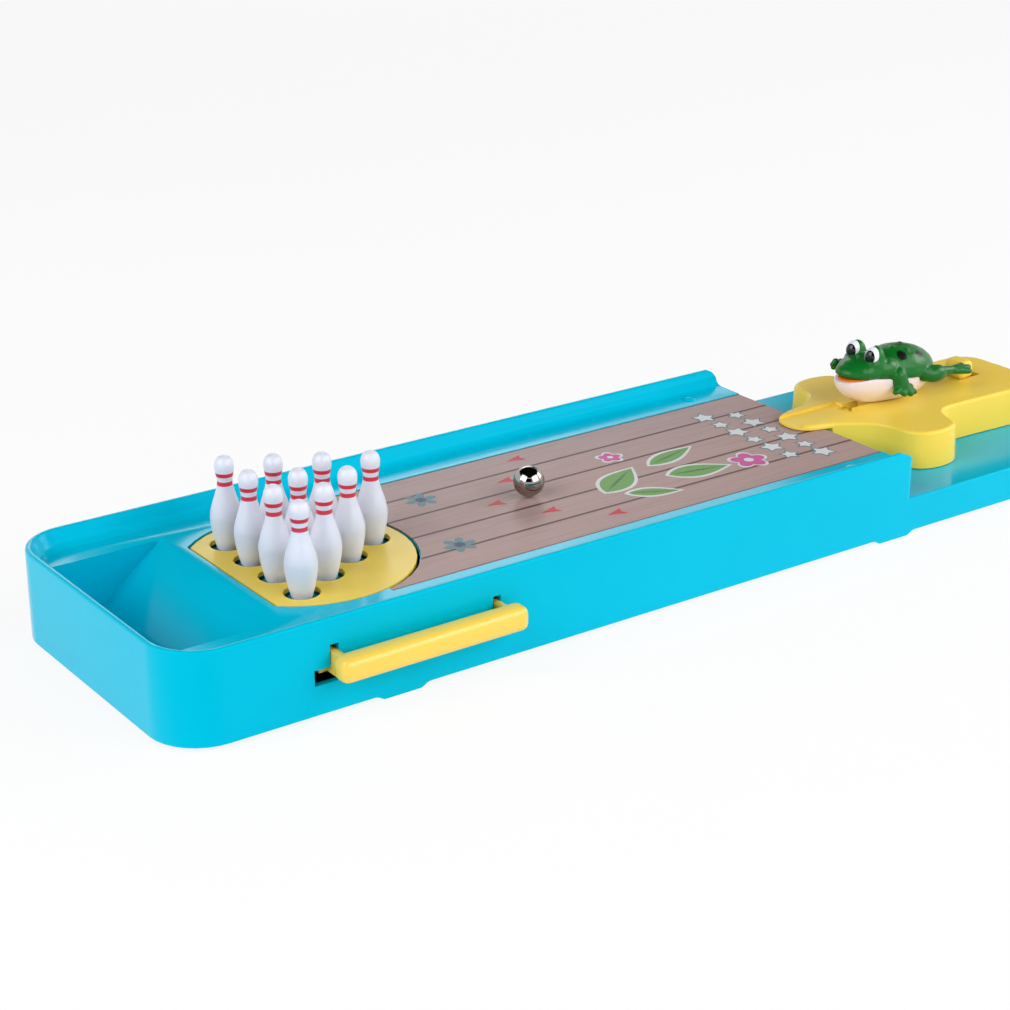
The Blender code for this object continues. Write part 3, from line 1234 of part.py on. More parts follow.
def build_frog():
    """The frog: cream belly and jaw on a peg, orange mouth, and the green back with its limbs."""
    sides, rings = FROG_SIDES, FROG_RINGS
    belly_radii = [share * FROG_LENGTH for share in BELLY_SHARES]
    centre = (BELLY_CENTRE_SHARE * FROG_LENGTH - FROG_FRONT, 0, JAW_HEIGHT)
    belly = ellipsoid("frog_belly", centre, belly_radii, sides=sides, rings=rings)
    place(belly, swivel_frame, GAME, CREAM)
    reach = FROG_LENGTH
    boolean(belly, block(
        "above_jaw", centre[0] - reach, centre[0] + reach, -reach, reach,
        JAW_HEIGHT - MOUTH_GAP / 2, JAW_HEIGHT + reach,
    ))
    boolean(belly, block(
        "below_seat", centre[0] - reach, centre[0] + reach, -reach, reach, 0, FROG_SEAT,
    ))
    gap = CLEARANCE * 2
    boolean(belly, block(
        "striker_room", -FROG_FRONT - reach, STRIKER_LENGTH + PLUNGER_TRAVEL + gap - PLUNGER_FRONT,
        -STRIKER_HALF_WIDTH - gap, STRIKER_HALF_WIDTH + gap, 0, STRIKER_TOP + gap,
    ))
    front_peg, back_peg = PEG_PLACES
    union(belly, cylinders(
        "belly_peg", [(-front_peg, 0)], PEG_RADIUS, LAUNCHER_TOP - PEG_DEPTH,
        FROG_SEAT + PEG_DEPTH, SCREW_STEPS,
    ))
    boolean(belly, cylinders(
        "back_peg_hole", [(-back_peg, 0)], PEG_RADIUS + CLEARANCE,
        JAW_HEIGHT - PEG_DEPTH * 2 - CLEARANCE, JAW_HEIGHT + PEG_DEPTH, SCREW_STEPS,
    ))
    (name, spot, radii, tilt), *others = FROG_BACK_SHARES
    back = ellipsoid(
        "frog_back", frog_spot(spot), [share * FROG_LENGTH for share in radii], math.radians(tilt),
        sides=sides, rings=rings,
    )
    place(back, swivel_frame, GAME, GREEN)
    name, spot, radii, tilt = others[0]
    union(back, ellipsoid(name, frog_spot(spot), [share * FROG_LENGTH for share in radii],
                          sides=sides, rings=rings))
    boolean(back, block(
        "below_back", -FROG_FRONT - reach, reach, -reach, reach, 0,
        JAW_HEIGHT - MOUTH_GAP / 2 + CLEARANCE,
    ))
    boolean(back, block(
        "mouth_room", -FROG_FRONT - reach, -MOUTH_BACK, -reach, reach, 0, JAW_HEIGHT + MOUTH_GAP / 2,
    ))
    for name, spot, radii, tilt in (*others[1:], *FROG_ARM_SHARES):
        lengths = [share * FROG_LENGTH for share in radii]
        union(back, ellipsoid(name, frog_spot(spot), lengths, math.radians(tilt)))
    room = [radius + CLEARANCE for radius in belly_radii]
    belly_room = ellipsoid("belly_room", centre, room, sides=sides, rings=rings)
    place(belly_room, swivel_frame, CUTTERS)
    boolean(belly_room, block(
        "room_top", centre[0] - reach, centre[0] + reach, -reach, reach,
        JAW_HEIGHT - MOUTH_GAP / 2 + CLEARANCE, JAW_HEIGHT + reach,
    ))
    boolean(back, belly_room)
    union(back, cylinders(
        "back_peg", [(-back_peg, 0)], PEG_RADIUS, JAW_HEIGHT - PEG_DEPTH * 2,
        JAW_HEIGHT + PEG_DEPTH, SCREW_STEPS,
    ))
    mouth = rounded_plan(
        -MOUTH_FRONT, -MOUTH_BACK - CLEARANCE, MOUTH_HALF_WIDTH, MOUTH_HALF_WIDTH * 3 / 4,
        CLEARANCE, 0,
    )
    tongue = plate(
        "frog_mouth", mouth, JAW_HEIGHT - MOUTH_GAP / 2 + CLEARANCE,
        JAW_HEIGHT + MOUTH_GAP / 2 - CLEARANCE,
    )
    place(tongue, swivel_frame, GAME, ORANGE)


build_base_tub()
build_base_cover()
build_lane_sheet()
build_pin_plate()
build_lift_frame()
build_lift_handle()
build_pin_stand()
build_lift_springs()
build_pins()
build_ball()
build_launcher_body()
build_launcher_cover()
build_swivel()
build_plunger()
build_frog()
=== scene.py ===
import json
import math

import bmesh
import bpy
from mathutils import Matrix, Vector

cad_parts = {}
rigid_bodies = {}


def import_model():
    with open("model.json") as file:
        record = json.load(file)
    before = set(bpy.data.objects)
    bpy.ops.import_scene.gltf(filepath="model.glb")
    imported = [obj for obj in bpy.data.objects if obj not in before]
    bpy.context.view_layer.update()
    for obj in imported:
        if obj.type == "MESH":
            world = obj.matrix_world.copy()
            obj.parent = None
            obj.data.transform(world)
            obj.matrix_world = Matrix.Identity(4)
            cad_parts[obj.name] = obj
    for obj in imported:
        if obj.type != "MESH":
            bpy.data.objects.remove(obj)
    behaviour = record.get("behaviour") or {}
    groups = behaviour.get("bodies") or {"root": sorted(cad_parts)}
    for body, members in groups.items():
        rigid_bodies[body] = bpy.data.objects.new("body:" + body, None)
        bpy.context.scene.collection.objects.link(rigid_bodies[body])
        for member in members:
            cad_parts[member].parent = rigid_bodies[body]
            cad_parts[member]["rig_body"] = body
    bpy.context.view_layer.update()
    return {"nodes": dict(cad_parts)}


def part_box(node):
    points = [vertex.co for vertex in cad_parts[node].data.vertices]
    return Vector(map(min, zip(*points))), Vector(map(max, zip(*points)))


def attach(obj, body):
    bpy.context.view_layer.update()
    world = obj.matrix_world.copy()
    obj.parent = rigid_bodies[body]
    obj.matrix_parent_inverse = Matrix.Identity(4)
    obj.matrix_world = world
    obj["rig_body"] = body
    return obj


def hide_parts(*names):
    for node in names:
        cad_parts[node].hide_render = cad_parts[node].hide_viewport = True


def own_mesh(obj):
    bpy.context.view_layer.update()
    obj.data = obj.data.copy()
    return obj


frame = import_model()

# The tray is one injection-moulded shell of cyan ABS. It holds the pit, the lane bed and the low deck,
# with thin walls, a rounded rim and four low feet on its lower edge.


def linear(code):
    """An sRGB hex colour as a linear one."""
    channels = [int(code[place:place + 2], 16) / 255 for place in (1, 3, 5)]
    return tuple(c / 12.92 if c <= 0.04045 else ((c + 0.055) / 1.055) ** 2.4 for c in channels) + (1.0,)


def add(owner, kind, inputs, **settings):
    """Add one node to a material or a world, with its settings, and set or link its inputs."""
    node = owner.node_tree.nodes.new("ShaderNode" + kind)
    for name, value in settings.items():
        setattr(node, name, value)
    for name, value in inputs.items():
        if isinstance(value, bpy.types.NodeSocket):
            owner.node_tree.links.new(value, node.inputs[name])
        else:
            node.inputs[name].default_value = value
    return node


def link(owner, source, target):
    """Join an output to an input."""
    owner.node_tree.links.new(source, target)


def shader_of(material):
    """A material's Principled shader."""
    return material.node_tree.nodes["Principled BSDF"]


def new_material(name):
    """An empty node material, with its shader and the place on the object that its patterns use."""
    material = bpy.data.materials.new(name)
    material.use_nodes = True
    return material, shader_of(material), add(material, "TexCoord", {}).outputs["Object"]


def moulded(name, light, dark, roughness, ripple=0.006, ripple_depth=0.00001, tinted=False, specular=0.5):
    """A moulded plastic: flow marks in its colour, a gloss that varies and a ripple from the mould.

    The ripple's width and depth are in metres, and a flow mark is six ripples wide. A strongly pigmented
    plastic is tinted: its reflections take its colour, and only a grazing one stays white.
    """
    material, shader, place = new_material(name)
    flow_marks = add(material, "TexNoise", {"Vector": place, "Scale": 1 / (ripple * 6), "Detail": 3.0})
    colour = add(material, "Mix", {
        "Factor": flow_marks.outputs["Fac"], "A": linear(light), "B": linear(dark),
    }, data_type="RGBA")
    link(material, colour.outputs["Result"], shader.inputs["Base Color"])
    if tinted:
        link(material, colour.outputs["Result"], shader.inputs["Specular Tint"])
    # The gloss varies by about a fifth to either side.
    rub = add(material, "TexNoise", {"Vector": place, "Scale": 1 / ripple, "Detail": 5.0})
    gloss = add(material, "MapRange", {
        "Value": rub.outputs["Fac"], "To Min": roughness * 0.8, "To Max": roughness * 1.25,
    })
    link(material, gloss.outputs["Result"], shader.inputs["Roughness"])
    waves = add(material, "TexNoise", {"Vector": place, "Scale": 1 / ripple, "Detail": 1.0})
    bump = add(material, "Bump", {
        "Height": waves.outputs["Fac"], "Distance": ripple_depth, "Strength": 0.5,
    })
    link(material, bump.outputs["Normal"], shader.inputs["Normal"])
    # These plastics and enamels refract at about 1.5.
    shader.inputs["IOR"].default_value = 1.5
    shader.inputs["Specular IOR Level"].default_value = specular
    return material


def mesh_from(shape, name):
    """The mesh of a finished shape, which is freed."""
    mesh = bpy.data.meshes.new(name)
    shape.to_mesh(mesh)
    shape.free()
    return mesh


def join_rings(shape, rings):
    """Fill the bands between rings that have the same number of corners."""
    for lower, upper in zip(rings, rings[1:]):
        for step in range(len(lower)):
            after = (step + 1) % len(lower)
            shape.faces.new((lower[step], lower[after], upper[after], upper[step]))


def shade(mesh):
    """Shade a mesh smooth between its sharp edges."""
    sharp = math.radians(32)
    mesh.shade_smooth()
    mesh.set_sharp_from_angle(angle=sharp)


def smooth(thing):
    """Shade a piece smooth between its sharp edges, with flat faces kept flat."""
    shade(thing.data)
    weighted = thing.modifiers.new("even_normals", "WEIGHTED_NORMAL")
    weighted.keep_sharp = True


def show(thing, body, material=None, nodes=()):
    """Put a piece in the scene: it rides on its body and stands for its CAD nodes."""
    if thing.name not in bpy.context.scene.collection.objects:
        bpy.context.scene.collection.objects.link(thing)
    if material:
        thing.data.materials.clear()
        thing.data.materials.append(material)
    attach(thing, body)
    if nodes:
        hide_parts(*nodes)
    return thing


def finished(node, name, material, edge=0.0):
    """A CAD node's own shape as a welded mesh with rounded edges, shaded smooth, standing for the node."""
    source = frame["nodes"][node]
    shape = bmesh.new()
    shape.from_mesh(source.data)
    weld = 0.00002
    bmesh.ops.remove_doubles(shape, verts=shape.verts, dist=weld)
    thing = bpy.data.objects.new(name, mesh_from(shape, name))
    if edge:
        rounding = thing.modifiers.new("mould_rounding", "BEVEL")
        rounding.width = edge
        rounding.segments = 3
        rounding.limit_method = "ANGLE"
        rounding.angle_limit = math.radians(40)
    smooth(thing)
    return show(thing, source["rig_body"], material, [node])


def curve_through(points, steps):
    """A smooth open curve through the points."""
    padded = [points[0], *points, points[-1]]
    result = []
    for index in range(len(points) - 1):
        a, b, c, d = (Vector(padded[index + shift]) for shift in range(4))
        for step in range(steps):
            t = step / steps
            spot = b * 2 + (c - a) * t + (a * 2 - b * 5 + c * 4 - d) * t * t
            spot += (b * 3 - a - c * 3 + d) * t * t * t
            result.append(tuple(spot / 2))
    result.append(tuple(points[-1]))
    return result


def cut_away(thing, cutter):
    """Cut one shape out of a piece for good, and drop the cutter."""
    for modifier in thing.modifiers:
        modifier.show_viewport = False
    cutting = thing.modifiers.new("cut", "BOOLEAN")
    cutting.object = cutter
    cutting.solver = "EXACT"
    result = bpy.data.meshes.new_from_object(thing.evaluated_get(bpy.context.evaluated_depsgraph_get()))
    thing.modifiers.remove(cutting)
    result.name = thing.name
    thing.data = result
    for modifier in thing.modifiers:
        modifier.show_viewport = True
    bpy.data.objects.remove(cutter)


# A polished mould gives the ABS a clear gloss in the cyan's own colour, and a slow ripple in what it mirrors.
cyan_abs = moulded("cyan_abs_gloss", "#00bcda", "#00b4d3", 0.15, tinted=True, specular=0.22)
tray_rounding = 0.0005
tray = finished("base_tub", "tray_shell", cyan_abs, tray_rounding)

# The high walls end in a rounded corner, the near one in a longer curve than the far one. A rounding is given
# in millimetres, back from the wall's end and down from its top, and runs out past the end.
tray_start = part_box("base_tub")[0].x
high_wall_length = 0.2738
wall_end = tray_start + high_wall_length
wall_top = 0.0300
cut_half_width = 0.0540
past_wall = -1.0
near_rounding = ((9.0, 0.0), (5.8, 0.4), (3.0, 1.6), (1.0, 3.5), (0.3, 4.7), (past_wall, 5.2))
far_rounding = ((3.8, 0.0), (2.3, 0.3), (1.1, 1.1), (0.3, 2.4), (0.0, 3.2), (past_wall, 3.9))
for rounding, cut_from, cut_to in (
    (near_rounding, -cut_half_width, 0.0),
    (far_rounding, 0.0, cut_half_width),
):
    outline = curve_through(rounding, steps=2) + [(past_wall, past_wall), (rounding[0][0], past_wall)]
    nick_shape = bmesh.new()
    nick_rings = [
        [nick_shape.verts.new((wall_end - back / 1000, y, wall_top - drop / 1000)) for back, drop in outline]
        for y in (cut_from, cut_to)
    ]
    nick_shape.faces.new(nick_rings[0])
    nick_shape.faces.new(list(reversed(nick_rings[1])))
    join_rings(nick_shape, nick_rings)
    bmesh.ops.recalc_face_normals(nick_shape, faces=nick_shape.faces)
    nick = bpy.data.objects.new("wall_end_nick", mesh_from(nick_shape, "wall_end_nick"))
    bpy.context.scene.collection.objects.link(nick)
    cut_away(tray, nick)
shade(tray.data)

# The base cover is a flat plate of the same cyan ABS that closes the tray from below.
# Six small screws hold it, with their heads sunk in its face.
# Its mould was left unpolished, so it shows the tray's colour with a dull, even sheen.
cover_abs = moulded("cyan_abs_matt", "#00bcda", "#00b3d2", 0.42, tinted=True)
finished("base_cover", "tray_bottom_cover", cover_abs)

# The lane is a printed sheet of satin PVC, stuck in a shallow recess of the tray. Its print shows five whole
# planks and part of one at each side, with dark seams and a faint grain along the lane.
plank_width = 0.01444
seam_width = 0.0011
grain_length = 0.030
grain_width = 0.0009
# The count starts at a half, which centres a plank on the lane, and at ten, so that it is never negative.
first_plank = 10.5
# A pattern that is counted to the millimetre is scaled by this, because the scene is in metres.
per_mm = 1000
worn_patches = 0.3 * per_mm

# The satin film gives the print a soft sheen that varies in patches about 3 mm wide. The grain's streaks are
# drawn 0.9 mm wide, coarser than real ones, so that they show.
lane_print, lane_shader, lane_place = new_material("printed_satin_pvc")
lane_axes = add(lane_print, "SeparateXYZ", {"Vector": lane_place})
plank_count = add(lane_print, "Math", {0: lane_axes.outputs["Y"], 1: plank_width}, operation="DIVIDE")
plank_shift = add(lane_print, "Math", {0: plank_count.outputs[0], 1: first_plank}, operation="ADD")
plank_index = add(lane_print, "Math", {0: plank_shift.outputs[0]}, operation="FLOOR")
plank_share = add(lane_print, "Math", {0: plank_shift.outputs[0]}, operation="FRACT")
plank_tone = add(lane_print, "TexWhiteNoise", {"W": plank_index.outputs[0]}, noise_dimensions="1D")
plank_colour = add(lane_print, "Mix", {
    "Factor": plank_tone.outputs["Value"], "A": linear("#a8918e"), "B": linear("#af928d"),
}, data_type="RGBA")
grain_map = add(lane_print, "Mapping", {
    "Vector": lane_place, "Scale": (1 / grain_length, 1 / grain_width, 1.0),
})
plank_offset = add(lane_print, "CombineXYZ", {"Z": plank_index.outputs[0]})
grain_place = add(lane_print, "VectorMath", {
    0: grain_map.outputs["Vector"], 1: plank_offset.outputs["Vector"],
}, operation="ADD")
grain = add(lane_print, "TexNoise", {
    "Vector": grain_place.outputs["Vector"], "Scale": 1.0, "Detail": 4.0, "Distortion": 0.4,
})
grain_mask = add(lane_print, "MapRange", {
    "Value": grain.outputs["Fac"], "From Min": 0.45, "From Max": 0.75, "To Max": 0.55,
})
grained = add(lane_print, "Mix", {
    "Factor": grain_mask.outputs["Result"], "A": plank_colour.outputs["Result"], "B": linear("#917c78"),
}, data_type="RGBA")
from_plank_middle = add(lane_print, "Math", {0: plank_share.outputs[0], 1: 0.5}, operation="SUBTRACT")
seam_side = add(lane_print, "Math", {0: from_plank_middle.outputs[0]}, operation="ABSOLUTE")
# A seam starts to show at 0.7 of its width from the plank's edge, and is full at 0.3 of it.
seam_share = seam_width / plank_width
seam_mask = add(lane_print, "MapRange", {
    "Value": seam_side.outputs[0], "From Min": 0.5 - seam_share * 0.7, "From Max": 0.5 - seam_share * 0.3,
})
seamed = add(lane_print, "Mix", {
    "Factor": seam_mask.outputs["Result"], "A": grained.outputs["Result"], "B": linear("#573f3e"),
}, data_type="RGBA")
link(lane_print, seamed.outputs["Result"], lane_shader.inputs["Base Color"])
lane_rub = add(lane_print, "TexNoise", {"Vector": lane_place, "Scale": worn_patches, "Detail": 4.0})
lane_gloss = add(lane_print, "MapRange", {"Value": lane_rub.outputs["Fac"], "To Min": 0.26, "To Max": 0.40})
link(lane_print, lane_gloss.outputs["Result"], lane_shader.inputs["Roughness"])
lane_bump = add(lane_print, "Bump", {
    "Height": lane_rub.outputs["Fac"], "Distance": 0.00001, "Strength": 0.5,
})
link(lane_print, lane_bump.outputs["Normal"], lane_shader.inputs["Normal"])
lane_shader.inputs["Specular IOR Level"].default_value = 0.08
finished("lane_sheet", "lane_sheet_print", lane_print)

# The coloured motifs are thin films of ink, screen-printed on the lane sheet in up to three layers: red
# aiming arrows, leaves, flowers and two rows of stars. Each film is an outline a little above the one below.


def ink(name, code, thinness):
    """A printing ink: flat and matt, with the lane's tone coming through where the film is thin."""
    # The real mottle of a screen print is much finer, and is drawn about 1 mm wide so that it shows.
    mottle = 0.9 * per_mm
    material, shader, place = new_material(name)
    dots = add(material, "TexNoise", {"Vector": place, "Scale": mottle, "Detail": 3.0})
    thin = add(material, "MapRange", {"Value": dots.outputs["Fac"], "From Min": 0.4, "To Max": thinness})
    colour = add(material, "Mix", {
        "Factor": thin.outputs["Result"], "A": linear(code), "B": linear("#b7a69b"),
    }, data_type="RGBA")
    link(material, colour.outputs["Result"], shader.inputs["Base Color"])
    shader.inputs["Roughness"].default_value = 0.3
    shader.inputs["Specular IOR Level"].default_value = 0.08
    return material


inks = {
    "white": ink("white_screen_ink", "#d4d4d6", 0.25),
    "red": ink("red_screen_ink", "#c01c34", 0.1),
    "green": ink("leaf_green_screen_ink", "#62994c", 0.25),
    "dark_green": ink("dark_green_screen_ink", "#3f7038", 0.3),
    "pink": ink("pink_screen_ink", "#c04c94", 0.2),
    "blue": ink("blue_grey_screen_ink", "#537c8a", 0.25),
    "navy": ink("navy_screen_ink", "#33405c", 0.2),
}


def turned_about(points, x, y, angle):
    """Move a flat outline to a place on the lane, turned by an angle, with x counted from the tray's end."""
    turn = Matrix.Rotation(angle, 2)
    return [(tray_start + x + p.x, y + p.y) for p in (turn @ Vector(point) for point in points)]


def leaf(x, y, length, width, angle):
    """A pointed leaf, widest a little before its middle."""
    shares = [step / 12 for step in range(13)]
    side = [(length * (s - 0.5), width / 2 * math.sin(math.pi * s ** 0.8)) for s in shares]
    return turned_about(side + [(a, -b) for a, b in reversed(side[1:-1])], x, y, angle)


def blossom(x, y, radius, petals, depth):
    """A flower with round petals, cut in by a share of its radius."""
    points = []
    for step in range(petals * 10):
        turn = 2 * math.pi * step / (petals * 10)
        reach = radius * (1 - depth * (1 - abs(math.cos(petals * turn / 2))))
        points.append((reach * math.cos(turn), reach * math.sin(turn)))
    return turned_about(points, x, y, 0)


def arrow(x, y, length, width):
    """An aiming arrow that points at the pins, with a notched back."""
    notch = length * 0.36
    corners = [(-length / 2, 0), (length / 2, width / 2), (notch, 0), (length / 2, -width / 2)]
    return turned_about(corners, x, y, 0)


def star(x, y, radius, angle):
    """A plump five-pointed star."""
    inner_radius = radius * 0.56
    points = []
    for step in range(10):
        turn = math.pi * step / 5
        reach = radius if step % 2 == 0 else inner_radius
        points.append((reach * math.cos(turn), reach * math.sin(turn)))
    return turned_about(points, x, y, angle)


printed = []
arrow_length, arrow_width = 0.0066, 0.0046
for x, y in ((0.1697, 0.0295), (0.1557, 0.0155), (0.1416, 0.0011), (0.1522, -0.0136), (0.1679, -0.0269)):
    printed.append(("red", 0, arrow(x, y, arrow_length, arrow_width)))
leaf_border_length, leaf_border_width = 0.0030, 0.0026
vein_length_share, vein_width_share = 0.75, 0.09
for x, y, length, width, angle in (
    (0.1860, -0.0055, 0.0260, 0.0130, 0.55),
    (0.2130, -0.0135, 0.0250, 0.0120, -0.20),
    (0.2135, 0.0020, 0.0250, 0.0095, 0.25),
    (0.1890, -0.0200, 0.0200, 0.0085, -0.45),
):
    printed.append(("white", 0, leaf(x, y, length, width, angle)))
    printed.append(("green", 1, leaf(x, y, length - leaf_border_length, width - leaf_border_width, angle)))
    vein = leaf(x, y, length * vein_length_share, width * vein_width_share, angle)
    printed.append(("dark_green", 2, vein))
flower_border, flower_eye_share = 0.0011, 0.28
for x, y, radius in ((0.2325, -0.0160, 0.0062), (0.1965, 0.0125, 0.0040)):
    printed.append(("white", 0, blossom(x, y, radius + flower_border, petals=5, depth=0.35)))
    printed.append(("pink", 1, blossom(x, y, radius, petals=5, depth=0.35)))
    printed.append(("white", 2, blossom(x, y, radius * flower_eye_share, petals=6, depth=0.1)))
blue_flower, blue_flower_eye = 0.0056, 0.0019
for x, y in ((0.1245, 0.0175), (0.1140, -0.0195)):
    printed.append(("blue", 0, blossom(x, y, blue_flower, petals=6, depth=0.62)))
    printed.append(("navy", 1, blossom(x, y, blue_flower_eye, petals=6, depth=0.2)))
star_start, star_spacing, star_border = 0.0240, 0.0088, 0.0010
for row, x in enumerate((0.2470, 0.2580)):
    for column in range(6):
        y = star_start - (column + row / 2) * star_spacing
        size = 0.0040 if (row + column) % 2 else 0.0050
        angle = row * 0.6 + column
        printed.append(("blue", 0, star(x, y, size, angle)))
        printed.append(("white", 1, star(x, y, size - star_border, angle)))

lane_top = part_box("lane_sheet")[1].z
ink_thickness = 0.00003
ink_names = list(inks)
print_shape = bmesh.new()
for colour, layer, outline in printed:
    height = lane_top + ink_thickness * (layer + 1)
    face = print_shape.faces.new([print_shape.verts.new((x, y, height)) for x, y in outline])
    face.material_index = ink_names.index(colour)
    face.normal_update()
    if face.normal.z < 0:
        face.normal_flip()
lane_motifs = bpy.data.objects.new("lane_motifs", mesh_from(print_shape, "lane_motifs"))
for colour in ink_names:
    lane_motifs.data.materials.append(inks[colour])
show(lane_motifs, "tray")

# The pin plate is a flat disc of yellow ABS with ten holes and one straight side. It lies level with the lane
# and goes down around the pins when the handle is pressed. Three screws join it to the lift frame below.
# The mould's fine texture gives a satin yellow with broad, soft highlights.
yellow_abs = moulded("yellow_abs", "#ecd053", "#e7c94c", 0.32, specular=0.3)
plate_rounding = 0.0002
finished("pin_plate", "pin_plate_disc", yellow_abs, plate_rounding)

# The lift frame is a cyan ring with two rails that carries the plate on its two springs, inside the tray. The
# pin stand below it is screwed to the tray's roof: its ten round posts reach up through the plate's holes.
# Both are plain inner mouldings of cyan ABS, a little darker and duller than the polished tray.
inner_abs = moulded("cyan_abs_inner", "#00b0cf", "#00a6c6", 0.38, tinted=True)
finished("lift_frame", "lift_ring", inner_abs)
finished("pin_stand", "pin_stand_posts", inner_abs)

# Small screws hold the mouldings together, and one of them holds the launcher to the deck with a washer. All
# are zinc-plated steel, headed and rolled in series.
# The plating gives a bright blue-grey sheen. Its marks are really finer, and are drawn 0.4 mm wide to show.
plating_marks = 2.5 * per_mm
zinc, zinc_shader, zinc_place = new_material("zinc_plated_steel")
zinc_marks = add(zinc, "TexNoise", {"Vector": zinc_place, "Scale": plating_marks, "Detail": 3.0})
zinc_tone = add(zinc, "Mix", {
    "Factor": zinc_marks.outputs["Fac"], "A": linear("#c9ccd1"), "B": linear("#aab0b8"),
}, data_type="RGBA")
link(zinc, zinc_tone.outputs["Result"], zinc_shader.inputs["Base Color"])
zinc_shader.inputs["Metallic"].default_value = 1.0
zinc_shader.inputs["Roughness"].default_value = 0.32
for node in sorted(name for name in frame["nodes"] if "screw" in name or "washer" in name):
    finished(node, node + "_steel", zinc)

# The three springs are wound from zinc-plated steel wire. Two stand on the pin stand and carry the lift
# frame, and one pushes the plunger.
for node, joint, axis, fixed_end, travel in (
    ("lift_spring_1", "plate_press", 2, 0, 0.0022),
    ("lift_spring_2", "plate_press", 2, 0, 0.0022),
    ("plunger_spring", "plunger_pull", 0, 1, 0.0060),
):
    spring = finished(node, node + "_steel", zinc)
    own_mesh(spring)

# The lift handle is a rounded bar of yellow ABS outside the near wall. Two arms pass through the wall's slots
# to the rails, so that a push on the bar lowers the plate.
# Its mould is smoother than the plate's, so the bar's highlights are a little sharper.
handle_abs = moulded("yellow_abs_handle", "#f3cf58", "#efc950", 0.24)
finished("lift_handle", "lift_bar", handle_abs)

# The ten pins are moulded from white polyethylene, each with a round head and two red bands painted on its
# neck. A shallow recess in the foot leaves a ring that stands on the post.
pin_low, pin_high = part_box("pin_01")
pin_height = pin_high.z - pin_low.z
pin_radius = (pin_high.x - pin_low.x) / 2
band_shares = (0.808, 0.716)
band_half_width, band_edge, band_waver = 0.00066, 0.00006, 0.00012
seam_half_width, seam_height = 0.00012, 0.00003
clouds = 0.18 * per_mm

# Polyethylene is slightly waxy: a little light goes into it, its white is faintly clouded, and a low ridge
# stands where the two halves of the mould met. The bands' edges waver a little, as painted ones do.
pin_material, pin_shader, pin_place = new_material("white_polyethylene_painted_bands")
pin_axes = add(pin_material, "SeparateXYZ", {"Vector": pin_place})
pin_tone = add(pin_material, "TexNoise", {"Vector": pin_place, "Scale": clouds, "Detail": 2.0})
pin_white = add(pin_material, "Mix", {
    "Factor": pin_tone.outputs["Fac"], "A": linear("#dfe2ee"), "B": linear("#d6d9e7"),
}, data_type="RGBA")
wavering = add(pin_material, "MapRange", {
    "Value": pin_tone.outputs["Fac"], "To Min": -band_waver, "To Max": band_waver,
})
band_height = add(pin_material, "Math", {
    0: pin_axes.outputs["Z"], 1: wavering.outputs["Result"],
}, operation="ADD")
pin_colour = pin_white.outputs["Result"]
for share in band_shares:
    from_middle = add(pin_material, "Math", {
        0: band_height.outputs[0], 1: pin_height * share,
    }, operation="SUBTRACT")
    aside = add(pin_material, "Math", {0: from_middle.outputs[0]}, operation="ABSOLUTE")
    band = add(pin_material, "MapRange", {
        "Value": aside.outputs[0],
        "From Min": band_half_width + band_edge, "From Max": band_half_width - band_edge,
    })
    banded = add(pin_material, "Mix", {
        "Factor": band.outputs["Result"], "A": pin_colour, "B": linear("#cf2f45"),
    }, data_type="RGBA")
    pin_colour = banded.outputs["Result"]
link(pin_material, pin_colour, pin_shader.inputs["Base Color"])
seam_line = add(pin_material, "Math", {0: pin_axes.outputs["X"]}, operation="ABSOLUTE")
seam_ridge = add(pin_material, "MapRange", {
    "Value": seam_line.outputs[0], "From Min": 0.0, "From Max": seam_half_width, "To Min": 1.0, "To Max": 0.0,
})
pin_bump = add(pin_material, "Bump", {
    "Height": seam_ridge.outputs["Result"], "Distance": seam_height, "Strength": 0.5,
})
link(pin_material, pin_bump.outputs["Normal"], pin_shader.inputs["Normal"])
pin_shader.inputs["Roughness"].default_value = 0.3
pin_shader.inputs["Subsurface Weight"].default_value = 0.15
pin_shader.inputs["Subsurface Radius"].default_value = (0.001, 0.001, 0.001)


def turned(name, profile, steps):
    """A closed body turned about Z from a profile of (radius, height), top to bottom, ends on the axis."""
    shape = bmesh.new()
    angles = [2 * math.pi * step / steps for step in range(steps)]
    rings = []
    for radius, height in profile:
        spots = [(radius * math.cos(a), radius * math.sin(a), height) for a in angles]
        if radius < 1e-6:
            # A ring on the axis is a single corner.
            spots = [(0, 0, height)]
        rings.append([shape.verts.new(spot) for spot in spots])
    for upper, lower in zip(rings, rings[1:]):
        for index in range(steps):
            after = (index + 1) % steps
            corners = [upper[index % len(upper)], lower[index % len(lower)],
                       lower[after % len(lower)], upper[after % len(upper)]]
            shape.faces.new(list(dict.fromkeys(corners)))
    mesh = mesh_from(shape, name)
    mesh.shade_smooth()
    return mesh


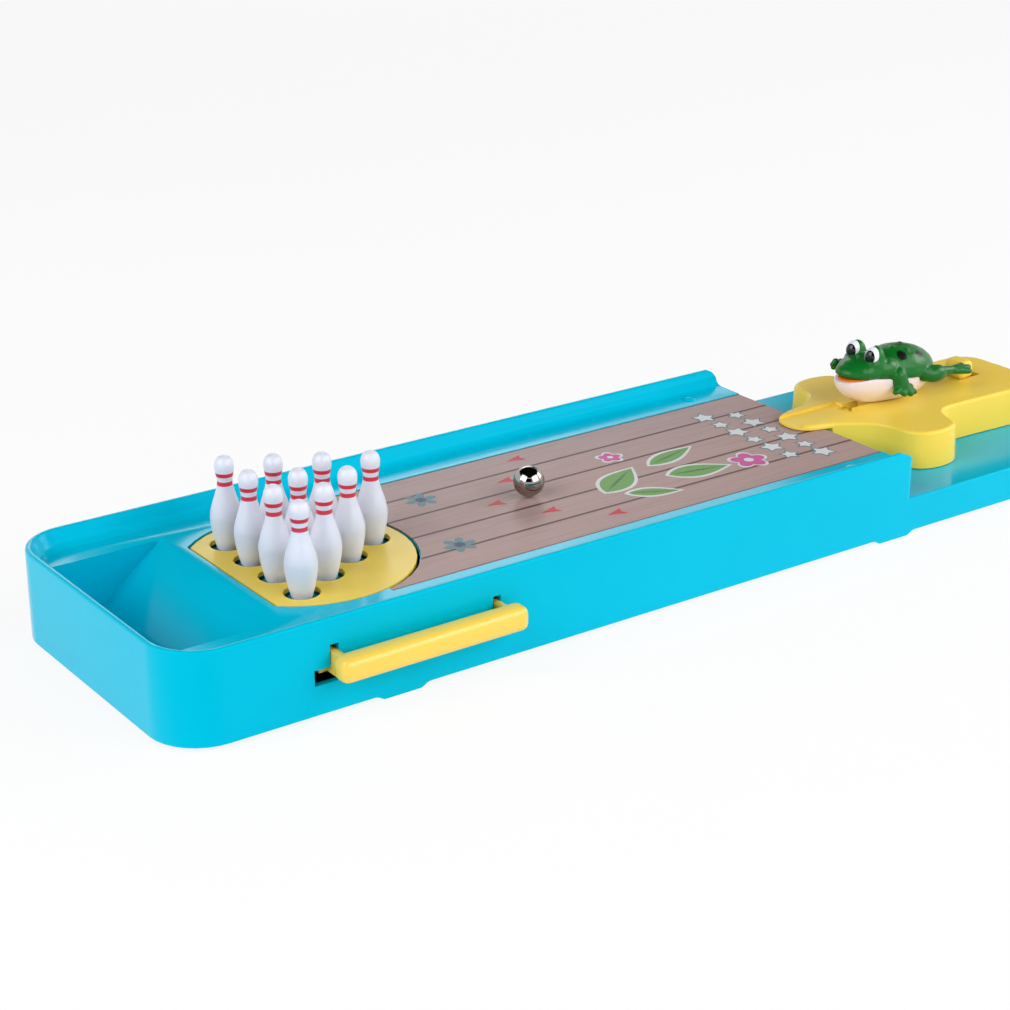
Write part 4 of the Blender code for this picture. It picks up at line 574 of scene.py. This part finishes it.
# The outline of a pin as shares of its largest radius and of its height, from the head to the foot.
pin_shares = (
    (0.00, 1.000), (0.22, 0.994), (0.42, 0.972), (0.56, 0.930), (0.60, 0.885), (0.565, 0.825),
    (0.50, 0.770), (0.475, 0.720), (0.52, 0.665), (0.64, 0.590), (0.84, 0.490), (0.97, 0.400),
    (1.00, 0.340), (0.95, 0.235), (0.80, 0.110), (0.67, 0.030), (0.63, 0.008), (0.58, 0.000),
)
pin_profile = [(r * pin_radius, h * pin_height) for r, h in curve_through(pin_shares, steps=4)]
recess_height = pin_height * 0.012
pin_foot = [(pin_radius * 0.50, 0.0), (pin_radius * 0.46, recess_height), (0.0, recess_height)]
pin_mesh = turned("pin_turned", pin_profile + pin_foot, steps=48)
pin_mesh.materials.append(pin_material)
for node in sorted(name for name in frame["nodes"] if name.startswith("pin_") and name[4:].isdigit()):
    low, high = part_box(node)
    pin = bpy.data.objects.new(node + "_white", pin_mesh)
    pin.location = ((low.x + high.x) / 2, (low.y + high.y) / 2, low.z)
    show(pin, node, nodes=[node])

# The ball is a ground and polished bearing ball of chrome steel, 10 mm across, which rolls free on the lane.
# Lapping left it with two tiny flats.
ball_low, ball_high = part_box("ball")
ball_radius = (ball_high.z - ball_low.z) / 2
lapped_flat = 0.00002
# Its polish mirrors the lane and the walls, and faint rubbed patches soften that here and there. Real
# scratches are too fine to show, so the patches are drawn about 1 mm wide.
rubbed_patches = 0.9 * per_mm
chrome, chrome_shader, chrome_place = new_material("polished_chrome_steel")
chrome_rub = add(chrome, "TexNoise", {"Vector": chrome_place, "Scale": rubbed_patches, "Detail": 6.0})
chrome_gloss = add(chrome, "MapRange", {"Value": chrome_rub.outputs["Fac"], "To Min": 0.03, "To Max": 0.10})
link(chrome, chrome_gloss.outputs["Result"], chrome_shader.inputs["Roughness"])
chrome_shader.inputs["Base Color"].default_value = linear("#a39d97")
chrome_shader.inputs["Metallic"].default_value = 1.0
ball_shape = bmesh.new()
bmesh.ops.create_cube(ball_shape, size=2)
bmesh.ops.subdivide_edges(ball_shape, edges=ball_shape.edges, cuts=23, use_grid_fill=True)
for vertex in ball_shape.verts:
    x, y, z = vertex.co
    # The cube's grid is bent to a sphere so that its cells keep nearly the same size.
    bent = Vector((
        x * math.sqrt(1 - y * y / 2 - z * z / 2 + y * y * z * z / 3),
        y * math.sqrt(1 - z * z / 2 - x * x / 2 + z * z * x * x / 3),
        z * math.sqrt(1 - x * x / 2 - y * y / 2 + x * x * y * y / 3),
    ))
    vertex.co = bent.normalized() * ball_radius
    vertex.co.x = max(lapped_flat - ball_radius, min(vertex.co.x, ball_radius - lapped_flat))
ball_mesh = mesh_from(ball_shape, "ball_ground")
ball_mesh.shade_smooth()
ball = bpy.data.objects.new("ball_steel", ball_mesh)
ball.location = (ball_low + ball_high) / 2
show(ball, "ball", chrome, ["ball"])

# The launcher is a foot-shaped shell of yellow ABS that swivels on the deck, with a thin tongue over the lane
# and a shallow ball channel. A cover is screwed on from below. Its upper edges are rounded all the way round.
# A satin mould gives it a warm yellow with soft highlights along the rounded edges.
launcher_abs = moulded("yellow_abs_launcher", "#f6d654", "#f1cd4a", 0.30, specular=0.3)
launcher_rounding = 0.0003
finished("launcher_body", "launcher_shell", launcher_abs, launcher_rounding)
finished("launcher_cover", "launcher_floor", launcher_abs)

# The plunger is a slide of the same ABS, in a guide on the cover. Its stem holds the knob above a slot, and
# its striker stands in another slot, with its head flush with the ball channel's floor.
plunger = finished("plunger", "plunger_slide", launcher_abs)
channel_depth, striker_length, margin = 0.0010, 0.0030, 0.0001
channel_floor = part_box("launcher_body")[1].z - channel_depth
striker_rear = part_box("plunger")[0].x + striker_length
for vertex in plunger.data.vertices:
    if vertex.co.x < striker_rear + margin:
        vertex.co.z = min(vertex.co.z, channel_floor)
finished("launch_knob", "launch_knob_cap", launcher_abs)

# The frog's pale belly and lower jaw are one boat-shaped moulding of soft PVC, on a peg in the launcher. Its
# rim follows the jaw. All places on the frog are counted from the launcher's pivot, with the snout at -X.
pivot = Vector((0.158, 0.0, 0.0))
# Soft PVC looks matt and a little fleshy: a little light goes into it, and red light goes the farthest.
cream_pvc = moulded("cream_pvc", "#f6ecf2", "#f3e2e8", 0.34)
shader_of(cream_pvc).inputs["Subsurface Weight"].default_value = 0.1
shader_of(cream_pvc).inputs["Subsurface Radius"].default_value = (0.001, 0.0006, 0.0005)
jaw_corner, jaw_corner_height = -0.0520, 0.0369
lip_drop, lip_length, lip_bend = 0.0009, 0.007, 0.7
jaw_slope = 0.12


def jaw_height(x):
    """The height of the lower jaw's rim, which falls from the mouth's corner to the lips and to the rump."""
    if x < jaw_corner:
        return jaw_corner_height - lip_drop * min(1.0, (jaw_corner - x) / lip_length) ** lip_bend
    return jaw_corner_height - (x - jaw_corner) * jaw_slope


belly_half_width, belly_foot = 0.0094, 0.0268
rim_middle, rim_half_length = -0.0393, 0.0215
foot_middle, foot_half_length = -0.0375, 0.0130
foot_swell, rim_swell = 0.6, 0.965
keel_narrowing, chin_narrowing = 0.16, 0.22
# A bluntness under one makes the ends of the boat fuller than an ellipse's.
bluntness, lip_height = 0.86, 0.0004
belly_levels, belly_steps = 12, 72
belly_shape = bmesh.new()
belly_rings = []
for level in range(belly_levels + 1):
    # The side swells out from the foot like a bowl, and the last ring turns in over the rim.
    rise = level / belly_levels
    swell = math.sqrt(1 - ((1 - rise) ** 2) * (1 - foot_swell ** 2)) if rise < 1 else rim_swell
    spread = (swell - foot_swell) / (1 - foot_swell)
    middle = foot_middle + (rim_middle - foot_middle) * spread
    half_length = foot_half_length + (rim_half_length - foot_half_length) * spread
    share = min(level / (belly_levels - 1), 1.0)
    ring = []
    for step in range(belly_steps):
        turn = 2 * math.pi * step / belly_steps
        along, across = math.cos(turn), math.sin(turn)
        x = middle + half_length * along
        # Low down the boat is narrower towards the chin.
        width = belly_half_width * swell * (1 - (1 - spread) * (keel_narrowing - chin_narrowing * along))
        y = width * math.copysign(abs(across) ** bluntness, across)
        z = belly_foot + (jaw_height(x) - belly_foot) * share
        if level == belly_levels:
            z += lip_height
        ring.append(belly_shape.verts.new((x, y, z)))
    belly_rings.append(ring)
join_rings(belly_shape, belly_rings)
top_middle = belly_shape.verts.new((rim_middle, 0, jaw_height(rim_middle) + lip_height))
foot_point = belly_shape.verts.new((foot_middle, 0, belly_foot))
for step in range(belly_steps):
    after = (step + 1) % belly_steps
    belly_shape.faces.new((belly_rings[-1][step], belly_rings[-1][after], top_middle))
    belly_shape.faces.new((belly_rings[0][after], belly_rings[0][step], foot_point))
belly = bpy.data.objects.new("frog_belly_boat", mesh_from(belly_shape, "frog_belly_boat"))
belly.location = pivot
smooth(belly)
show(belly, "launcher", cream_pvc, ["frog_belly"])

# The green back is one moulding of soft PVC, on a peg in the belly: the head, the eye sockets, the legs and
# the webbed feet, rounded into each other like a carved pattern, with small warts along the back.
# Its skin has a lumpy sheen: the mould's grain is drawn 2.2 mm wide, coarser than the real one, so it shows.
green_pvc = moulded(
    "green_pvc", "#0c7226", "#085c1b", 0.30, ripple=0.0022, ripple_depth=0.00025, specular=0.28,
)
unit_ball = bmesh.new()
bmesh.ops.create_uvsphere(unit_ball, u_segments=18, v_segments=12, radius=1)
unit_corners = [corner.co.copy() for corner in unit_ball.verts]
unit_faces = [[corner.index for corner in face.verts] for face in unit_ball.faces]
unit_ball.free()


def blob(heap, x, y, z, length, width, height, tilt=0.0):
    """A stretched ball, in millimetres from the pivot, tilted about Y in degrees, put on a heap."""
    corners, faces = heap
    turn = Matrix.Rotation(math.radians(tilt), 3, "Y").to_quaternion()
    matrix = Matrix.LocRotScale(Vector((x, y, z)) / 1000, turn, Vector((length, width, height)) / 1000)
    start = len(corners)
    corners.extend(matrix @ corner for corner in unit_corners)
    faces.extend([start + index for index in face] for face in unit_faces)


def limb(heap, start, end, start_radius, end_radius):
    """A tapered limb with round ends: a close row of balls that the fusing joins."""
    count = max(2, math.ceil((Vector(end) - Vector(start)).length / min(start_radius, end_radius) * 2))
    for step in range(count + 1):
        share = step / count
        spot = Vector(start).lerp(Vector(end), share)
        radius = start_radius + (end_radius - start_radius) * share
        blob(heap, *spot, radius, radius, radius)


def toes(heap, root, tips, root_radius, tip_radius, pad):
    """Toes that spread from one root, each with a pad of three radii at its tip."""
    for tip in tips:
        limb(heap, root, tip, root_radius, tip_radius)
        blob(heap, *tip, *pad)


def fused(heap, name, cell, soften):
    """One closed skin round a heap of overlapping balls, with its folds softened."""
    mesh = bpy.data.meshes.new(name)
    mesh.from_pydata(heap[0], [], heap[1])
    thing = bpy.data.objects.new(name, mesh)
    bpy.context.scene.collection.objects.link(thing)
    skin = thing.modifiers.new("skin", "REMESH")
    skin.mode = "VOXEL"
    skin.voxel_size = cell
    softer = thing.modifiers.new("softer", "SMOOTH")
    softer.factor = 0.5
    softer.iterations = soften
    result = bpy.data.meshes.new_from_object(thing.evaluated_get(bpy.context.evaluated_depsgraph_get()))
    bpy.data.objects.remove(thing)
    bpy.data.meshes.remove(mesh)
    return result


# The trunk: the rump, the chest, the head and the snout, then the eye sockets and the cheeks on both sides.
trunk = ([], [])
blob(trunk, -33.0, 0, 36.8, 15.8, 10.2, 8.3, 6)
blob(trunk, -38.0, 0, 37.2, 10.5, 9.8, 6.6)
blob(trunk, -49.8, 0, 39.2, 9.5, 8.3, 4.8)
blob(trunk, -54.3, 0, 38.8, 6.0, 6.4, 3.7)
for side in (-1, 1):
    blob(trunk, -48.0, side * 4.6, 43.6, 3.2, 3.3, 4.6)
    blob(trunk, -49.0, side * 4.8, 41.6, 3.9, 3.4, 3.4)
    blob(trunk, -44.0, side * 5.2, 39.2, 5.8, 4.4, 4.2)

# Its underside is cut along the jaw, and a second cut in front of the mouth's corner opens the lips.
trimmed = bmesh.new()
trimmed.from_mesh(fused(trunk, "frog_trunk", cell=0.0005, soften=6))
mouth_corner = Vector((-0.0500, 0, 0.0371))
lip_rise, lip_slope = Vector((0, 0, 0.0001)), 0.02


def before_mouth_corner(part):
    """Whether any corner of a part of the trunk lies in front of the mouth's corner."""
    corners = [part] if isinstance(part, bmesh.types.BMVert) else part.verts
    return any(corner.co.x < mouth_corner.x for corner in corners)


for point, slope, lips_only in (
    (mouth_corner, jaw_slope, False),
    (mouth_corner + lip_rise, lip_slope, True),
):
    parts = trimmed.verts[:] + trimmed.edges[:] + trimmed.faces[:]
    if lips_only:
        parts = [part for part in parts if before_mouth_corner(part)]
    upwards = Vector((slope, 0, 1)).normalized()
    bmesh.ops.bisect_plane(trimmed, geom=parts, plane_co=point, plane_no=upwards, clear_inner=True)
bmesh.ops.holes_fill(trimmed, edges=[edge for edge in trimmed.edges if edge.is_boundary], sides=0)
bmesh.ops.triangulate(trimmed, faces=[face for face in trimmed.faces if len(face.verts) > 4])
trimmed.verts.index_update()
whole_frog = (
    [corner.co.copy() for corner in trimmed.verts],
    [[corner.index for corner in face.verts] for face in trimmed.faces],
)
trimmed.free()

# The near arm hangs beside the belly, with four spread toes.
limb(whole_frog, (-40.8, -8.8, 37.0), (-40.0, -9.8, 34.0), 3.1, 2.9)
blob(whole_frog, -39.4, -10.4, 32.6, 4.6, 2.0, 1.9)
near_tips = ((-43.8, -11.2, 32.2), (-40.6, -12.2, 31.3), (-37.4, -12.2, 30.7), (-34.6, -11.0, 30.5))
toes(whole_frog, (-39.4, -10.6, 33.2), near_tips, 1.7, 1.1, (1.3, 1.2, 1.1))

# The far arm reaches forwards beside the head, with three toes.
limb(whole_frog, (-42.0, 8.4, 37.6), (-46.4, 10.2, 37.4), 2.8, 2.1)
limb(whole_frog, (-46.4, 10.2, 37.4), (-50.2, 10.6, 38.2), 2.1, 1.7)
far_tips = ((-52.6, 10.4, 39.5), (-53.3, 10.8, 38.3), (-52.3, 11.4, 37.0))
toes(whole_frog, (-50.0, 10.6, 38.1), far_tips, 1.5, 1.0, (1.2, 1.2, 1.1))

# The near hind leg is stretched out behind, with a thick thigh and a webbed foot.
limb(whole_frog, (-27.0, -8.0, 35.0), (-21.0, -9.0, 34.4), 3.0, 2.9)
blob(whole_frog, -22.8, -9.2, 34.4, 5.6, 3.0, 3.0)
limb(whole_frog, (-20.0, -9.4, 34.8), (-14.5, -9.4, 34.2), 2.0, 1.6)
near_foot_tips = ((-8.0, -7.6, 34.2), (-6.6, -9.6, 33.8), (-8.2, -11.6, 33.2))
toes(whole_frog, (-14.4, -9.4, 34.2), near_foot_tips, 1.6, 1.1, (1.4, 1.2, 1.1))
blob(whole_frog, -11.4, -9.6, 33.9, 3.8, 2.4, 1.0)

# The far hind leg slopes down behind the rump, with three toes.
limb(whole_frog, (-29.0, 7.6, 34.6), (-23.0, 9.4, 32.4), 3.0, 2.8)
limb(whole_frog, (-23.0, 9.4, 32.4), (-19.0, 9.6, 30.6), 2.6, 1.8)
far_foot_tips = ((-15.0, 7.8, 30.0), (-14.2, 9.8, 29.8), (-15.6, 11.6, 29.8))
toes(whole_frog, (-19.0, 9.6, 30.6), far_foot_tips, 1.6, 1.1, (1.3, 1.2, 1.0))

# The warts stand in a loose row along the back.
for x, y, z, size in (
    (-37.0, -1.5, 44.9, 0.8), (-30.5, 1.4, 44.2, 1.1), (-26.2, -1.8, 42.5, 1.0), (-22.8, 1.8, 40.6, 0.9),
    (-33.0, -4.6, 44.0, 0.7), (-28.0, 4.4, 43.0, 0.7), (-40.0, 3.6, 44.4, 0.7), (-20.2, -2.2, 38.8, 0.9),
):
    blob(whole_frog, x, y, z, size, size, size * 0.8)
frog_skin = fused(whole_frog, "frog_skin", cell=0.00042, soften=3)
frog_skin.shade_smooth()

# Black enamel is dabbed over the green in five round spots, each with a slightly ragged edge. The noise that
# makes an edge ragged also shifts the whole dab by half its reach, and the dab's place makes up for that.
ragged_reach, dab_edge = 0.0012, 0.0002
ragged_steps = 0.7 * per_mm
green_place = add(green_pvc, "TexCoord", {}).outputs["Object"]
ragged = add(green_pvc, "TexNoise", {"Vector": green_place, "Scale": ragged_steps, "Detail": 2.0})
shifted = add(green_pvc, "VectorMath", {
    0: ragged.outputs["Color"], "Scale": ragged_reach,
}, operation="SCALE")
paint_place = add(green_pvc, "VectorMath", {0: green_place, 1: shifted.outputs["Vector"]}, operation="ADD")
skin_input = shader_of(green_pvc).inputs["Base Color"]
skin_colour = skin_input.links[0].from_socket
for x, y, z, size in (
    (-36.8, -5.8, 42.7, 2.1), (-29.0, -6.0, 41.5, 1.9), (-36.8, 5.8, 42.7, 2.1), (-29.0, 6.0, 41.5, 1.9),
    (-32.6, 0.4, 45.2, 1.7),
):
    dab_middle = tuple(along / 1000 + ragged_reach / 2 for along in (x, y, z))
    dab_distance = add(green_pvc, "VectorMath", {
        0: paint_place.outputs["Vector"], 1: dab_middle,
    }, operation="DISTANCE")
    dab = add(green_pvc, "MapRange", {
        "Value": dab_distance.outputs["Value"],
        "From Min": size / 1000 + dab_edge, "From Max": size / 1000 - dab_edge,
    })
    painted = add(green_pvc, "Mix", {
        "Factor": dab.outputs["Result"], "A": skin_colour, "B": linear("#0c120c"),
    }, data_type="RGBA")
    skin_colour = painted.outputs["Result"]
link(green_pvc, skin_colour, skin_input)
frog = bpy.data.objects.new("frog_green_back", frog_skin)
frog.location = pivot
show(frog, "launcher", green_pvc, ["frog_back"])

# The mouth's lining is a thin leaf of orange PVC that lies in the gap between the jaws, seen only at the
# lips. Its dull surface shows a full orange, with hardly a highlight.
orange_pvc = moulded("orange_pvc", "#e8801c", "#d96f12", 0.4)
mouth_middle, mouth_half_length, mouth_half_width, mouth_steps = -0.0525, 0.0072, 0.0060, 40
turns = [2 * math.pi * step / mouth_steps for step in range(mouth_steps)]
mouth_shape = bmesh.new()
mouth_rings = []
# Each ring has its share of the leaf's half length and half width, and its height.
for share, height in ((0.90, 0.0354), (0.97, 0.0357), (0.97, 0.0370), (0.90, 0.0373)):
    mouth_rings.append([mouth_shape.verts.new((
        mouth_middle + mouth_half_length * share * math.cos(turn),
        mouth_half_width * share * math.sin(turn), height,
    )) for turn in turns])
join_rings(mouth_shape, mouth_rings)
mouth_shape.faces.new(mouth_rings[-1])
mouth_shape.faces.new(list(reversed(mouth_rings[0])))
mouth = bpy.data.objects.new("frog_mouth_leaf", mesh_from(mouth_shape, "frog_mouth_leaf"))
mouth.location = pivot
smooth(mouth)
show(mouth, "launcher", orange_pvc, ["frog_mouth"])

# The eyes are moulded balls in the sockets, dipped in white enamel, with a black pupil painted on each that
# looks ahead and aside. Wet-looking enamel gives both colours a small sharp highlight.
eye_enamel = moulded("white_eye_enamel", "#eceef4", "#e2e6f0", 0.12, ripple=0.002)
pupil_enamel = moulded("black_pupil_enamel", "#0a0a0c", "#101014", 0.1, ripple=0.002)
eye_radii = (0.0028, 0.0027, 0.0035)
eye_place, eye_offset = Vector((-0.0497, 0, 0.0446)), 0.0047
pupil_angle = math.radians(45)
gaze = Vector((-0.94, -0.28, 0.10)).to_track_quat("Z", "Y").to_matrix().to_4x4()
for side, name in ((-1, "frog_eye_near"), (1, "frog_eye_far")):
    eye_shape = bmesh.new()
    bmesh.ops.create_uvsphere(eye_shape, u_segments=40, v_segments=28, radius=1)
    for face in eye_shape.faces:
        face.material_index = int(face.calc_center_median().z > math.cos(pupil_angle))
    eye_size = Matrix.Diagonal((*eye_radii, 1))
    bmesh.ops.transform(eye_shape, matrix=eye_size @ gaze, verts=eye_shape.verts)
    eye_mesh = mesh_from(eye_shape, name)
    eye_mesh.shade_smooth()
    eye_mesh.materials.append(eye_enamel)
    eye_mesh.materials.append(pupil_enamel)
    eye = bpy.data.objects.new(name, eye_mesh)
    eye.location = pivot + eye_place + Vector((0, side * eye_offset, 0))
    show(eye, "launcher")

# The floor is a wide sheet of white studio paper under the object, which keeps its soft shadow.
# Seen directly or in a reflection it is mostly plain white, and it lights the object as matt paper does.
# Its fibres are too fine to show, and stand as faint clouds 25 mm wide.
floor_half = 3.0
floor_white_share = 0.86
paper_clouds = 0.04 * per_mm
white = (1, 1, 1, 1)


def panel(name, half_width, half_height, material):
    """A flat panel of the studio, which is no part of the object."""
    signs = ((-1, -1), (1, -1), (1, 1), (-1, 1))
    mesh = bpy.data.meshes.new(name)
    mesh.from_pydata([(x * half_width, y * half_height, 0) for x, y in signs], [], [(0, 1, 2, 3)])
    mesh.materials.append(material)
    thing = bpy.data.objects.new(name, mesh)
    bpy.context.scene.collection.objects.link(thing)
    return thing


paper, paper_shader, paper_place = new_material("studio_floor_white")
paper_fibre = add(paper, "TexNoise", {"Vector": paper_place, "Scale": paper_clouds})
paper_tone = add(paper, "Mix", {
    "Factor": paper_fibre.outputs["Fac"], "A": linear("#fbfbfb"), "B": linear("#f8f8f8"),
}, data_type="RGBA")
link(paper, paper_tone.outputs["Result"], paper_shader.inputs["Base Color"])
paper_shader.inputs["Roughness"].default_value = 0.9
paper_shader.inputs["Specular IOR Level"].default_value = 0.0
paper_ray = add(paper, "LightPath", {})
paper_seen = add(paper, "Math", {
    0: paper_ray.outputs["Is Camera Ray"], 1: paper_ray.outputs["Is Glossy Ray"],
}, operation="MAXIMUM")
plain_white = add(paper, "Emission", {"Color": white, "Strength": 1.0})
white_share = add(paper, "Math", {0: paper_seen.outputs[0], 1: floor_white_share}, operation="MULTIPLY")
paper_mix = add(paper, "MixShader", {
    0: white_share.outputs[0], 1: paper_shader.outputs["BSDF"], 2: plain_white.outputs["Emission"],
})
paper_output = paper.node_tree.nodes["Material Output"]
link(paper, paper_mix.outputs["Shader"], paper_output.inputs["Surface"])
panel("studio_floor", floor_half, floor_half, paper)

# The studio's walls are white: seen directly, mirrored or through something they are plain white, and they
# light the object more weakly, so that the lamps still model it.
wall_light = 0.68
world = bpy.data.worlds.new("studio")
bpy.context.scene.world = world
world.use_nodes = True
ambient = world.node_tree.nodes["Background"]
ambient.inputs["Color"].default_value = white
ambient.inputs["Strength"].default_value = wall_light
backdrop = add(world, "Background", {"Color": white, "Strength": 1.0})
world_ray = add(world, "LightPath", {})
seen = add(world, "Math", {
    0: world_ray.outputs["Is Camera Ray"], 1: world_ray.outputs["Is Glossy Ray"],
}, operation="MAXIMUM")
seen_through = add(world, "Math", {
    0: seen.outputs[0], 1: world_ray.outputs["Is Transmission Ray"],
}, operation="MAXIMUM")
world_mix = add(world, "MixShader", {
    0: seen_through.outputs[0], 1: ambient.outputs["Background"], 2: backdrop.outputs["Background"],
})
link(world, world_mix.outputs["Shader"], world.node_tree.nodes["World Output"].inputs["Surface"])

# Three black flags are felt on frames: one hangs over the object, one stands behind the camera and one behind
# the object. They darken what it mirrors, so that the cyan and the lane keep their depth. The felt's fibres
# are too fine to show, and are drawn as tufts 2.5 mm wide.
photo_turn = math.radians(-35.6)
felt_tufts = 0.4 * per_mm
felt, felt_shader, felt_place = new_material("black_felt_flag")
felt_fibre = add(felt, "TexNoise", {"Vector": felt_place, "Scale": felt_tufts})
felt_tone = add(felt, "Mix", {
    "Factor": felt_fibre.outputs["Fac"], "A": linear("#0c0c0c"), "B": linear("#161616"),
}, data_type="RGBA")
link(felt, felt_tone.outputs["Result"], felt_shader.inputs["Base Color"])
felt_shader.inputs["Roughness"].default_value = 0.95
felt_shader.inputs["Specular IOR Level"].default_value = 0.0
for name, place, tilt, half_width, half_height in (
    ("overhead_flag", (0.0, 0.3, 1.20), 0, 1.5, 1.5),
    ("camera_side_flag", (-0.92, -1.22, 0.78), 90, 0.65, 0.44),
    ("back_flag", (1.75, 1.45, 0.85), 90, 0.50, 0.45),
):
    flag = panel(name, half_width, half_height, felt)
    flag.location = place
    flag.rotation_euler = (math.radians(tilt), 0, photo_turn)

# Four soft lamps light the object: two large boxes at the camera's left and right, a strip behind, and a
# smaller box past the launcher's end. Each has its place, the spot it is aimed at, its width and height, and
# its power in watts.
for name, place, aim, width, height, power in (
    ("soft_box_left", (-0.98, -0.08, 0.66), (-0.05, 0, 0), 0.95, 0.80, 9.0),
    ("soft_box_right", (0.34, -0.94, 0.62), (0.05, 0, 0), 0.95, 0.80, 8.1),
    ("strip_box_back", (0.79, 1.42, 0.76), (0, 0, 0), 0.95, 0.35, 2.5),
    ("soft_box_end", (1.05, -0.30, 0.50), (0.15, 0, 0), 0.5, 0.5, 4.2),
):
    lamp_data = bpy.data.lights.new(name, "AREA")
    lamp_data.shape = "RECTANGLE"
    lamp_data.size = width
    lamp_data.size_y = height
    lamp_data.energy = power
    lamp = bpy.data.objects.new(name, lamp_data)
    lamp.location = place
    lamp.rotation_euler = (Vector(aim) - Vector(place)).to_track_quat("-Z", "Y").to_euler()
    bpy.context.scene.collection.objects.link(lamp)

# The camera stands where the photograph was taken from: in front of the near wall, towards the pin end, and
# looking down at 22 degrees through a long lens.
camera_data = bpy.data.cameras.new("photo_camera")
camera_data.lens = 80
camera_data.sensor_width = 36
camera = bpy.data.objects.new("photo_camera", camera_data)
camera.location = (-0.4273, -0.5336, 0.2885)
camera.rotation_euler = (math.radians(68.02), 0, photo_turn)
bpy.context.scene.collection.objects.link(camera)
bpy.context.scene.camera = camera
bpy.context.scene.view_settings.view_transform = "Standard"
